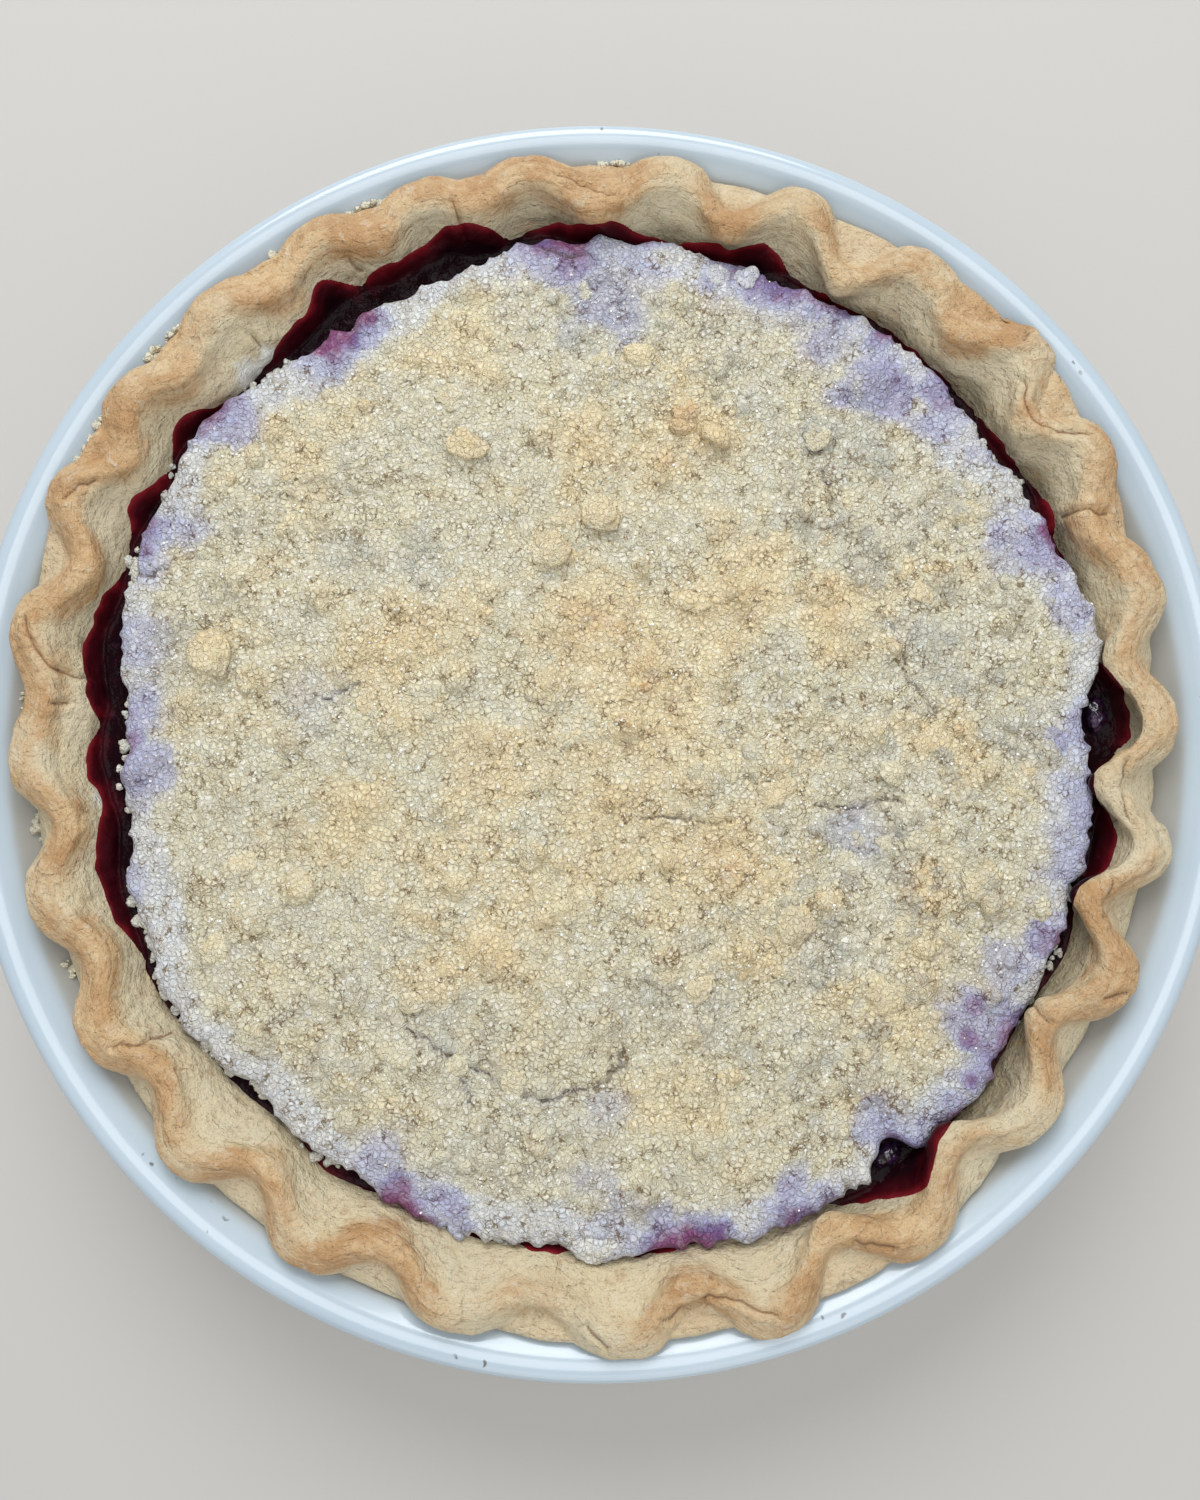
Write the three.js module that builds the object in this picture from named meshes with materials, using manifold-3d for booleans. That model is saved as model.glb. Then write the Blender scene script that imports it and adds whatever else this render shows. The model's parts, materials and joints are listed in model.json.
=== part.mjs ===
// Grape pie in its own white pie dish: a pastry shell with a fluted edge, a dark grape filling that
// shows in a broken line round the edge, two grape skins standing out of it, and a crumb topping.
// Millimetres, +Z up. The origin is the middle of the dish's base, where it stands.
// Angles are in degrees, counted from +X towards +Y.

import * as THREE from 'three';
import Module from 'manifold-3d';
import { mergeVertices } from 'three/addons/utils/BufferGeometryUtils.js';

const wasm = await Module();
wasm.setup();

// ---------------------------------------------------------------- driving dimensions

const GAP = 0.35; // kept between pieces that touch

// Dish
const RIM_R = 131.5; // outside of the lip
const RIM_Z = 42; // top of the lip
const LIP_INNER_R = 125.4; // where the lip turns down into the wall
const LIP_INNER_Z = 40.7;
const BASE_R = 97; // flat face that it stands on
const FLOOR_Z = 5; // top of the dish's floor
const FLOOR_R = 94; // flat part of that floor
const WALL_T = 5.2; // level thickness of the wall
const FLARE_Z = 26; // the wall is straight below, and flares above
const FLARE_R = 113; // inside of the wall at that height
const WALL_SLOPE = 0.62; // outward mm for each mm up
const FLARE_RATE = 0.0134; // extra outward mm for each mm² above the flare
const DISH_SIDES = 72;

// Pastry shell and its fluted edge. One finger-pressed flute after another, as uneven as they are:
// where each bulge is, how far out it reaches, how far in the ridge is pinched after it, and how far
// the pastry outside that pinch stands up to the ridge's height, from 0 to 1.
const FLUTE_DEG = [0, 14.5, 29.5, 41, 54.5, 68.5, 82, 97.5, 108.5, 119.5, 132.5, 145, 156,
  170, 183.5, 197.5, 212, 226, 240.5, 256, 272.5, 287, 302.5, 318.5, 334, 347];
const FLUTE_REACH = [120, 121.5, 124, 125.5, 124.5, 124, 123.5, 124, 123.5, 124.5, 124.5, 124.5, 125,
  123, 121, 121, 122, 123, 123.5, 124, 126, 126.5, 124.5, 121.5, 121, 120.5];
const PINCH_R = [110, 112, 111, 113.5, 109.5, 111, 112, 115.5, 115, 115.5, 115, 114, 111.5,
  114, 110, 111.5, 112, 111, 112, 114, 113, 111.5, 110, 108.5, 106.5, 106];
const PINCH_FILL = [0.7, 0.8, 0.6, 0.9, 0.4, 0.5, 0.9, 1, 0.9, 1, 1, 1, 0.4,
  0.9, 0.2, 0.6, 0.2, 0.1, 0.1, 0.3, 0.4, 0.2, 0.3, 0.4, 0.3, 0.4];
const CREST_Z = 45.5; // top of the ridge on a bulge
const PINCH_DROP = 1; // the ridge dips by this where it is pinched
const CREST_SWAY = 0.6; // seeded rise and fall of the ridge
const RIDGE_HALF = 3.4; // half the ridge's width where it is pinched
const REACH_TO_CREST = 4.8; // from a bulge's outline in to the top of the ridge
const FOOT_TUCK = 1.9; // the foot of the pastry is this much inside the bulges
const FOOT_MAX_R = 123.2; // and never reaches the lip
const SHELL_T = 5; // level thickness of the shell's wall
const SHELL_FLOOR_T = 4;
const SHELL_SIDES = 182; // seven for each flute
const SHELL_HEEL_R = 93;
const INSIDE_DEG = 12; // spacing of the radii below, of the shell's inside at the jelly's level
const INSIDE_R = [111.2, 107.5, 108, 107.3, 108, 108.2, 109.2, 107.2, 110.5, 110.8, 110.3, 107, 109, 108,
  107.5, 106, 104.6, 107, 106.5, 104.8, 107, 106.8, 107, 107.8, 108.5, 111, 110.5, 108.3, 108.5, 108];
const INSIDE_SWAY = 0.6; // it bends out by this behind a bulge, and in behind a pinch

// Filling
const JELLY_Z = 33;
const GRAPES = [ // angle, radius, half-sizes along and across the edge and up
  { deg: 1.7, r: 106.8, half: [4.2, 2.8, 3.4] },
  { deg: 304.2, r: 107.2, half: [3.8, 2.4, 3.2] },
];
const GRAPE_SINK = 0.8; // its middle is this much below the jelly
const GRAPE_SIDES = 12;

// Crumb topping
const TOPPING_EDGE_DEG = 12; // spacing of the radii below
const TOPPING_EDGE_R = [104.5, 108, 104, 103, 106, 105.8, 105.5, 108, 108.3, 104, 104, 105, 107, 105.3,
  103.3, 99.4, 100, 103, 104.5, 102, 104, 107.4, 107.9, 109, 109.6, 109, 108.6, 106, 106.5, 104.5];
const TOPPING_EDGE_Z = 37; // brow of its edge
const TOPPING_TOP_Z = 41; // middle, without its lumps
const TOPPING_RINGS = 25;
const EDGE_NOTCH = 0.9; // seeded in and out of the edge between the radii above
const BROW_DROP = 1.4; // the brow is this much lower than the crumbs behind it
const CLIFF_IN = 1.1; // the foot of the edge is this much inside it
const CRUMB_ROUGH = 0.55; // fine relief, as far as the facets can hold it
const SWELL = 0.7; // broad rise and fall
const SWELL_SPACING = 26;
const LUMP_COUNT = 96; // seeded lumps, spread evenly
const LUMP_R = [3.6, 6.4];
const LUMP_H = [1.1, 2.4];
const BIG_LUMPS = [ // the lumps that stand out: x, y, radius, height
  [-27.7, 59.5, 5.5, 2.4], [18.8, 67.1, 4.5, 1.8], [-9.7, 36.9, 6, 1.9], [-81.3, 14.7, 6.5, 2.3],
  [79.5, -31.8, 5, 2], [0.8, 44.4, 6, 1.8], [49, 20, 9, 1.6], [35, -35, 9, 1.4],
];
const HOLLOWS = [ // sunken places: x, y, radius, depth
  [55, -18, 15, 2.2], [0, 88, 13, 1.5], [62, 62, 16, 1.7], [-58, 42, 17, 1.2], [-20, -68, 18, 1.5],
  [68, 25, 14, 1.2],
];
const SEED = 1907;

// ---------------------------------------------------------------- small helpers

const rad = THREE.MathUtils.degToRad;
const lerp = THREE.MathUtils.lerp;
const ease = (t) => 0.5 - 0.5 * Math.cos(Math.PI * t);
const polar = (r, deg, z) => new THREE.Vector3(r * Math.cos(rad(deg)), r * Math.sin(rad(deg)), z);

// A number from 0 to 1 that depends on two whole numbers and a seed alone.
function chance(i, j, seed) {
  let h = Math.imul(i, 374761393) ^ Math.imul(j, 668265263) ^ Math.imul(seed, 974634777);
  h = Math.imul(h ^ (h >>> 13), 1274126177);
  h = Math.imul(h ^ (h >>> 15), 2246822519);
  return ((h ^ (h >>> 16)) >>> 0) / 4294967296;
}

// Smooth noise from -1 to 1 over a plane, with hills one unit apart.
function hills(x, y, seed) {
  const i = Math.floor(x);
  const j = Math.floor(y);
  const u = ease(x - i);
  const v = ease(y - j);
  const low = lerp(chance(i, j, seed), chance(i + 1, j, seed), u);
  const high = lerp(chance(i, j + 1, seed), chance(i + 1, j + 1, seed), u);
  return 2 * lerp(low, high, v) - 1;
}

// Smooth noise from -1 to 1 round the edge, with a given number of hills in a full turn.
function hillsRound(deg, count, seed) {
  const t = ((((deg % 360) + 360) % 360) / 360) * count;
  const i = Math.floor(t) % count;
  return 2 * lerp(chance(i, 0, seed), chance((i + 1) % count, 0, seed), ease(t - Math.floor(t))) - 1;
}

// A closed body from rings of equal length, low to high on its outside, with a pole at each end. Facets
// lean back where the body has to lie along the inside of another one.
function ringBody(rings, firstPole, lastPole, leanBack = false) {
  const sides = rings[0].length;
  const points = [...rings.flat(), firstPole, lastPole];
  const first = points.length - 2;
  const last = points.length - 1;
  const faces = [];
  for (let i = 0; i < sides; i += 1) {
    const next = (i + 1) % sides;
    faces.push(first, next, i);
    for (let k = 0; k + 1 < rings.length; k += 1) {
      const a = k * sides + i;
      const b = k * sides + next;
      if (leanBack) faces.push(a, b, a + sides, b, b + sides, a + sides);
      else faces.push(a, b, b + sides, a, b + sides, a + sides);
    }
    const top = (rings.length - 1) * sides;
    faces.push(last, top + i, top + next);
  }
  return geometryOf(points, faces);
}

function geometryOf(points, faces) {
  const geometry = new THREE.BufferGeometry().setFromPoints(points);
  geometry.setIndex(faces);
  geometry.computeVertexNormals();
  return geometry;
}

function toSolid(geometry) {
  const bare = geometry.clone();
  bare.deleteAttribute('normal');
  bare.deleteAttribute('uv');
  const merged = mergeVertices(bare, 1e-4);
  return new wasm.Manifold(new wasm.Mesh({
    numProp: 3,
    vertProperties: Float32Array.from(merged.attributes.position.array),
    triVerts: Uint32Array.from(merged.index.array),
  }));
}

function fromSolid(solid) {
  const mesh = solid.getMesh();
  const geometry = new THREE.BufferGeometry();
  geometry.setAttribute('position', new THREE.BufferAttribute(mesh.vertProperties, 3));
  geometry.setIndex(new THREE.BufferAttribute(mesh.triVerts, 1));
  geometry.computeVertexNormals();
  return geometry;
}

// ---------------------------------------------------------------- dish

function wallRadius(z) {
  const above = Math.max(0, z - FLARE_Z);
  return FLARE_R + WALL_SLOPE * (z - FLARE_Z) + FLARE_RATE * above * above;
}

// The height at which the inside of the wall has this radius, above the flare.
function wallHeight(r) {
  const out = r - FLARE_R;
  const slope = Math.sqrt(WALL_SLOPE * WALL_SLOPE + 4 * FLARE_RATE * out);
  return FLARE_Z + (slope - WALL_SLOPE) / (2 * FLARE_RATE);
}

function makeDish() {
  const outside = (z) => [wallRadius(z) + WALL_T, z];
  const inside = (z) => [wallRadius(z), z];
  const heel = [[BASE_R, 0], [BASE_R + 3.8, 0.9], [BASE_R + 6.4, 3]];
  const lip = [[RIM_R - 3.4, 36.4], [RIM_R - 0.9, 37.6], [RIM_R, 39.5], [RIM_R - 0.7, 41.3],
    [RIM_R - 2.6, RIM_Z], [RIM_R - 4.3, RIM_Z - 0.4], [LIP_INNER_R, LIP_INNER_Z]];
  const floorFillet = [[FLOOR_R + 6.4, FLOOR_Z + 1.8], [FLOOR_R, FLOOR_Z]];
  const profile = [[0, 0], ...heel, outside(FLARE_Z), ...lip,
    inside(36.5), inside(31.5), inside(12), ...floorFillet, [0, FLOOR_Z]];
  const points = profile.map(([r, z]) => new THREE.Vector2(r, z));
  const geometry = new THREE.LatheGeometry(points, DISH_SIDES);
  geometry.rotateX(Math.PI / 2);
  return geometry;
}

// ---------------------------------------------------------------- pastry shell

// Everything that the fluted edge is at one angle.
function edgeAt(deg) {
  const angle = ((deg % 360) + 360) % 360;
  const count = FLUTE_DEG.length;
  let k = count - 1;
  while (k > 0 && FLUTE_DEG[k] > angle) k -= 1;
  const next = (k + 1) % count;
  const from = FLUTE_DEG[k];
  const to = next ? FLUTE_DEG[next] : 360 + FLUTE_DEG[0];
  const along = (angle - from) / (to - from);
  const bulge = 0.5 + 0.5 * Math.cos(2 * Math.PI * along); // 1 on a bulge, 0 where pinched
  const reach = lerp(FLUTE_REACH[k], FLUTE_REACH[next], ease(along));
  const foot = Math.min(reach - FOOT_TUCK, FOOT_MAX_R);
  const crest = lerp(PINCH_R[k], reach - REACH_TO_CREST, bulge);
  const sway = CREST_SWAY * hillsRound(angle, 36, SEED + 1);
  return {
    bulge,
    reach,
    crest,
    crestZ: CREST_Z - PINCH_DROP * (1 - bulge) + sway,
    foot,
    footZ: wallHeight(foot) + GAP + 0.1,
    fill: PINCH_FILL[k],
  };
}

// The value at an angle of a row of radii with even spacing round the pie.
function roundThe(radii, spacing, deg) {
  const t = (((deg % 360) + 360) % 360) / spacing;
  const k = Math.floor(t);
  const count = radii.length;
  return lerp(radii[k % count], radii[(k + 1) % count], ease(t - k));
}

// Inside of the shell at the jelly's level, a little above it, and low down.
function shellInside(deg) {
  const { bulge, crest } = edgeAt(deg);
  const level = roundThe(INSIDE_R, INSIDE_DEG, deg) + INSIDE_SWAY * (2 * bulge - 1);
  return {
    level: lerp(Math.min(level, crest + 0.3), level, bulge),
    above: lerp(Math.min(level + 1.2, crest - 1.5), level + 2.2, bulge),
    low: wallRadius(16) - SHELL_T - 0.4,
  };
}

function makeCrust() {
  const angles = Array.from({ length: SHELL_SIDES }, (_, i) => (360 * i) / SHELL_SIDES);
  const ring = (place) => angles.map((deg) => {
    const [r, z] = place(edgeAt(deg), shellInside(deg), deg);
    return polar(r, deg, z);
  });
  const against = (z) => ring(() => [wallRadius(z) - GAP, z]);
  const rings = [
    ring(() => [SHELL_HEEL_R, FLOOR_Z + GAP]),
    against(12),
    against(FLARE_Z),
    against(32),
    // foot of the edge, leaning on the dish's wall
    ring((e) => [e.foot, e.footZ]),
    ring((e) => [e.foot + lerp(0.8 * e.fill - 1.2, 0.5, e.bulge),
      e.footZ + lerp(1.6 + 2.2 * e.fill, 1.6, e.bulge)]),
    // crease between foot and ridge, which is the outline on a bulge
    ring((e) => [lerp(e.crest + RIDGE_HALF + 0.6 + 0.6 * e.fill, e.reach, e.bulge),
      e.crestZ - lerp(4 - 2.2 * e.fill, 2.7, e.bulge)]),
    ring((e) => [e.crest + lerp(2.4, 3, e.bulge), e.crestZ - 0.8]),
    ring((e) => [e.crest, e.crestZ]),
    ring((e) => [e.crest - lerp(2.2, 3, e.bulge), e.crestZ - 0.8]),
    // inner side of the ridge, which slopes gently into the shell behind a bulge
    ring((e, inside) => [lerp(e.crest - RIDGE_HALF, lerp(e.crest - 3, inside.above, 0.5), e.bulge),
      e.crestZ - lerp(3.2, 3.9, e.bulge)]),
    ring((e, inside) => [inside.above, 37.6]),
    ring((e, inside) => [inside.level, JELLY_Z]),
    ring((e, inside) => [inside.low, 16]),
    ring(() => [SHELL_HEEL_R, FLOOR_Z + SHELL_FLOOR_T + GAP]),
  ];
  return ringBody(rings, polar(0, 0, FLOOR_Z + GAP), polar(0, 0, FLOOR_Z + SHELL_FLOOR_T + GAP));
}

// ---------------------------------------------------------------- filling

function grapePlace({ deg, r }) {
  return polar(r, deg, JELLY_Z - GRAPE_SINK);
}

// A slightly lopsided ellipsoid, its long side along the edge of the pie.
function grapeShape({ deg, half }, grow) {
  const geometry = new THREE.SphereGeometry(1, GRAPE_SIDES, GRAPE_SIDES / 2);
  geometry.rotateX(Math.PI / 2);
  geometry.scale(half[1] + grow, half[0] + grow, half[2] + grow);
  geometry.rotateZ(rad(deg));
  return geometry;
}

function makeFilling() {
  const bottomZ = FLOOR_Z + SHELL_FLOOR_T + 2 * GAP;
  const rings = [
    [SHELL_HEEL_R - GAP, bottomZ],
    ['low', 16],
    ['level', JELLY_Z],
  ].map(([r, z]) => Array.from({ length: SHELL_SIDES }, (_, i) => {
    const deg = (360 * i) / SHELL_SIDES;
    return polar(typeof r === 'number' ? r : shellInside(deg)[r] - GAP - 0.1, deg, z);
  }));
  let solid = toSolid(ringBody(rings, polar(0, 0, bottomZ), polar(0, 0, JELLY_Z), true));
  for (const grape of GRAPES) {
    const pocket = grapeShape(grape, GAP);
    const at = grapePlace(grape);
    pocket.translate(at.x, at.y, at.z);
    solid = solid.subtract(toSolid(pocket));
  }
  return fromSolid(solid);
}

// ---------------------------------------------------------------- crumb topping

// The topping's outline, kept clear of the shell and of the grapes beside it.
function toppingEdge(deg) {
  const plain = roundThe(TOPPING_EDGE_R, TOPPING_EDGE_DEG, deg);
  const inside = shellInside(deg);
  const room = Math.min(inside.above, inside.level + 1) - 2 * GAP;
  const besideGrapes = GRAPES.map(({ deg: at, r, half }) => {
    const apart = rad(Math.abs(((deg - at + 540) % 360) - 180)) * r;
    return r - half[1] - 2 * GAP + 2 * (apart / half[0]) ** 2;
  });
  return Math.min(plain + EDGE_NOTCH * hillsRound(deg, 60, SEED + 2), room, ...besideGrapes);
}

// A round lump or hollow: 1 in its middle, 0 from its edge outwards.
function mound(x, y, [cx, cy, r]) {
  const d = Math.hypot(x - cx, y - cy) / r;
  return d < 1 ? (1 - d * d) ** 1.5 : 0;
}

// Seeded lumps on a sunflower's spiral, so they spread evenly without lining up.
function scatteredLumps() {
  const golden = 137.508;
  return Array.from({ length: LUMP_COUNT }, (_, i) => {
    const r = 98 * Math.sqrt((i + 0.5) / LUMP_COUNT) + 4 * (chance(i, 1, SEED) - 0.5);
    const deg = i * golden + 8 * (chance(i, 2, SEED) - 0.5);
    const size = chance(i, 3, SEED);
    const at = polar(r, deg, 0);
    return [at.x, at.y, lerp(...LUMP_R, size), lerp(...LUMP_H, chance(i, 4, SEED))];
  });
}

const lumps = [...BIG_LUMPS, ...scatteredLumps()];

function crumbHeight(x, y) {
  const swell = SWELL * hills(x / SWELL_SPACING, y / SWELL_SPACING, SEED + 3);
  const rough = CRUMB_ROUGH * hills(x / 4, y / 4, SEED + 4);
  const raised = lumps.reduce((most, lump) => Math.max(most, lump[3] * mound(x, y, lump)), 0);
  const sunk = HOLLOWS.reduce((sum, hollow) => sum + hollow[3] * mound(x, y, hollow), 0);
  return swell + rough + raised - sunk;
}

function toppingHeight(x, y, share) {
  const dome = lerp(TOPPING_TOP_Z, TOPPING_EDGE_Z + BROW_DROP, share ** 2.2);
  return dome + crumbHeight(x, y);
}

function makeTopping() {
  const points = [new THREE.Vector3(0, 0, toppingHeight(0, 0, 0))];
  const start = (k) => (k ? 1 + 3 * k * (k - 1) : 0);
  for (let k = 1; k <= TOPPING_RINGS; k += 1) {
    for (let i = 0; i < 6 * k; i += 1) {
      const deg = (60 * i) / k;
      const share = k / TOPPING_RINGS;
      const at = polar(toppingEdge(deg) * share, deg, 0);
      at.z = toppingHeight(at.x, at.y, share) - (k === TOPPING_RINGS ? BROW_DROP : 0);
      points.push(at);
    }
  }
  const faces = [];
  for (let k = 1; k <= TOPPING_RINGS; k += 1) {
    for (let sixth = 0; sixth < 6; sixth += 1) {
      for (let i = 0; i < k; i += 1) {
        const outer = start(k) + sixth * k + i;
        const outerNext = start(k) + ((sixth * k + i + 1) % (6 * k));
        const innerCount = Math.max(1, 6 * (k - 1));
        const inner = start(k - 1) + ((sixth * (k - 1) + i) % innerCount);
        faces.push(inner, outer, outerNext);
        if (i + 1 < k) {
          const innerNext = start(k - 1) + ((sixth * (k - 1) + i + 1) % innerCount);
          faces.push(inner, outerNext, innerNext);
        }
      }
    }
  }
  // the edge falls steeply to the jelly, and the underside closes the body
  const sides = 6 * TOPPING_RINGS;
  const underZ = JELLY_Z + GAP;
  for (const [out, z] of [[0.2, 35.3], [-CLIFF_IN, underZ]]) {
    for (let i = 0; i < sides; i += 1) {
      const deg = (360 * i) / sides;
      points.push(polar(toppingEdge(deg) + out, deg, z));
    }
  }
  points.push(new THREE.Vector3(0, 0, underZ));
  const brow = start(TOPPING_RINGS);
  const middle = points.length - 1;
  for (let i = 0; i < sides; i += 1) {
    const next = (i + 1) % sides;
    for (const upper of [brow, brow + sides]) {
      faces.push(upper + i, upper + sides + i, upper + sides + next);
      faces.push(upper + i, upper + sides + next, upper + next);
    }
    faces.push(brow + 2 * sides + i, middle, brow + 2 * sides + next);
  }
  return geometryOf(points, faces);
}

// ---------------------------------------------------------------- the pie

const finish = (color, roughness) => new THREE.MeshStandardMaterial({ color, roughness, metalness: 0 });
const glaze = finish('#e9edee', 0.25);
const pastry = finish('#d9b27c', 0.7);
const jelly = finish('#3a0a14', 0.15);
const skin = finish('#1f0a16', 0.25);
const crumbs = finish('#dccfa6', 0.9);

const pie = new THREE.Group();

function add(name, geometry, material, place) {
  const mesh = new THREE.Mesh(geometry, material);
  mesh.name = name;
  if (place) mesh.position.copy(place);
  pie.add(mesh);
}

add('dish', makeDish(), glaze);
add('crust', makeCrust(), pastry);
add('filling', makeFilling(), jelly);
add('topping', makeTopping(), crumbs);
GRAPES.forEach((grape, i) => add(`grape_${i + 1}`, grapeShape(grape, 0), skin, grapePlace(grape)));

export default pie;
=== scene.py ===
"""Grape pie in its white dish: fluted pastry edge, dark grape jelly, crumb topping.

Sizes are millimetres until a mesh is made, which is in metres. Angles are degrees from +X towards +Y. In the
finishes, the scales of noise and cells are per metre, and the heights of bumps are metres.
"""

import json
import math

import bmesh
import bpy
import numpy as np
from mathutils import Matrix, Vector

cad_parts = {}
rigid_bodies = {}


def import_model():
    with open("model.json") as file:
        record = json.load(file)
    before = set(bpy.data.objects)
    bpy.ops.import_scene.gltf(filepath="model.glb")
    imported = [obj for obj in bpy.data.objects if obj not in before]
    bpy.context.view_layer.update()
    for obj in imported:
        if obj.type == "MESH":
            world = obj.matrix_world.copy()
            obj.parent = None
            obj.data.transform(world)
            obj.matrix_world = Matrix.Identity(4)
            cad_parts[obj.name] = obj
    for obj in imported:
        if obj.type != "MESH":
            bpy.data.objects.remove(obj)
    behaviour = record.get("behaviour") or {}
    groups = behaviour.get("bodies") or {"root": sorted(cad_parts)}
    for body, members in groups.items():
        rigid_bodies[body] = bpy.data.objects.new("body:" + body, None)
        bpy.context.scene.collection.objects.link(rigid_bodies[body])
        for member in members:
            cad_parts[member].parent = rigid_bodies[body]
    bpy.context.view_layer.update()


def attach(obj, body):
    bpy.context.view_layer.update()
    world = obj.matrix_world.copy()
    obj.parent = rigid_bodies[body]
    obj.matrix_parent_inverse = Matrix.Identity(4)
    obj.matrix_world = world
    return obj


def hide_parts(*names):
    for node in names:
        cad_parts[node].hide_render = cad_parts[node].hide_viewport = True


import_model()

MM = 0.001
BODY = "root"

# ------------------------------------------------------------------ sizes shared with the part

RIM_R, RIM_Z = 131.5, 42.0
LIP_INNER_R, LIP_INNER_Z = 125.4, 40.7
BASE_R, FLOOR_Z, FLOOR_R = 97.0, 5.0, 94.0
WALL_T = 5.2
FLARE_Z, FLARE_R, WALL_SLOPE, FLARE_RATE = 26.0, 113.0, 0.62, 0.0134
GAP = 0.35

# the flutes: the angle and reach of each tip, and how far out and how filled the pinch after it is
FLUTE_DEG = [
    0, 14.5, 29.5, 41, 54.5, 68.5, 82, 97.5, 108.5, 119.5, 132.5, 145, 156, 170, 183.5, 197.5, 212, 226,
    240.5, 256, 272.5, 287, 302.5, 318.5, 334, 347]
FLUTE_REACH = [
    120, 121.5, 124, 125.5, 124.5, 124, 123.5, 124, 123.5, 124.5, 124.5, 124.5, 125, 123, 121, 121, 122,
    123, 123.5, 124, 126, 126.5, 124.5, 121.5, 121, 120.5]
PINCH_R = [
    110, 112, 111, 113.5, 109.5, 111, 112, 115.5, 115, 115.5, 115, 114, 111.5, 114, 110, 111.5, 112, 111,
    112, 114, 113, 111.5, 110, 108.5, 106.5, 106]
PINCH_FILL = [
    0.7, 0.8, 0.6, 0.9, 0.4, 0.5, 0.9, 1, 0.9, 1, 1, 1, 0.4, 0.9, 0.2, 0.6, 0.2, 0.1, 0.1, 0.3, 0.4, 0.2,
    0.3, 0.4, 0.3, 0.4]
CREST_Z, PINCH_DROP, CREST_SWAY = 45.5, 1.0, 0.6
RIDGE_HALF, REACH_TO_CREST = 3.4, 4.8
CREST_WAVES = 36
FOOT_TUCK, FOOT_MAX_R, FOOT_LIFT = 1.9, 123.2, 0.1
SHELL_T, SHELL_FLOOR_T, SHELL_HEEL_R = 5.0, 4.0, 93.0
SHELL_LOW_Z, SHELL_LOW_IN = 16.0, 0.4
LEAN_BULGE, LEAN_PINCH, PINCH_OVERHANG, PINCH_BACK = 2.2, 1.2, 0.3, 1.5
# the shell's inside at the jelly's level: one radius for every 12 degrees
INSIDE_DEG, INSIDE_SWAY = 12.0, 0.6
INSIDE_R = [
    111.2, 107.5, 108, 107.3, 108, 108.2, 109.2, 107.2, 110.5, 110.8, 110.3, 107, 109, 108, 107.5, 106,
    104.6, 107, 106.5, 104.8, 107, 106.8, 107, 107.8, 108.5, 111, 110.5, 108.3, 108.5, 108]

JELLY_Z = 33.0
GRAPES = [{"deg": 1.7, "r": 106.8, "half": (4.2, 2.8, 3.4)},
          {"deg": 304.2, "r": 107.2, "half": (3.8, 2.4, 3.2)}]
GRAPE_SINK = 0.8

# the topping's edge: one radius for every 12 degrees
TOPPING_EDGE_DEG = 12.0
TOPPING_EDGE_R = [
    104.5, 108, 104, 103, 106, 105.8, 105.5, 108, 108.3, 104, 104, 105, 107, 105.3, 103.3, 99.4, 100, 103,
    104.5, 102, 104, 107.4, 107.9, 109, 109.6, 109, 108.6, 106, 106.5, 104.5]
TOPPING_EDGE_Z, TOPPING_TOP_Z = 37.0, 41.0
EDGE_NOTCH, EDGE_NOTCHES, BROW_DROP, CLIFF_IN = 0.9, 60, 1.4, 1.1
GRAPE_BAY = 2.0
DOME_POWER = 2.2
SWELL, SWELL_SPACING = 0.7, 26.0
LUMP_COUNT, LUMP_R, LUMP_H = 96, (3.6, 6.4), (1.1, 2.4)
LUMPS_OUT_TO, LUMP_STRAY, LUMP_TURN, LUMP_TURN_STRAY = 98, 4, 137.508, 8
# lumps and hollows of the topping's broad form: x, y, radius, and height or depth
BIG_LUMPS = [
    (-27.7, 59.5, 5.5, 2.4), (18.8, 67.1, 4.5, 1.8), (-9.7, 36.9, 6, 1.9), (-81.3, 14.7, 6.5, 2.3),
    (79.5, -31.8, 5, 2), (0.8, 44.4, 6, 1.8), (49, 20, 9, 1.6), (35, -35, 9, 1.4)]
HOLLOWS = [
    (55, -18, 15, 2.2), (0, 88, 13, 1.5), (62, 62, 16, 1.7), (-58, 42, 17, 1.2), (-20, -68, 18, 1.5),
    (68, 25, 14, 1.2)]
SEED = 1907

# ------------------------------------------------------------------ sizes that only show close up

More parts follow.
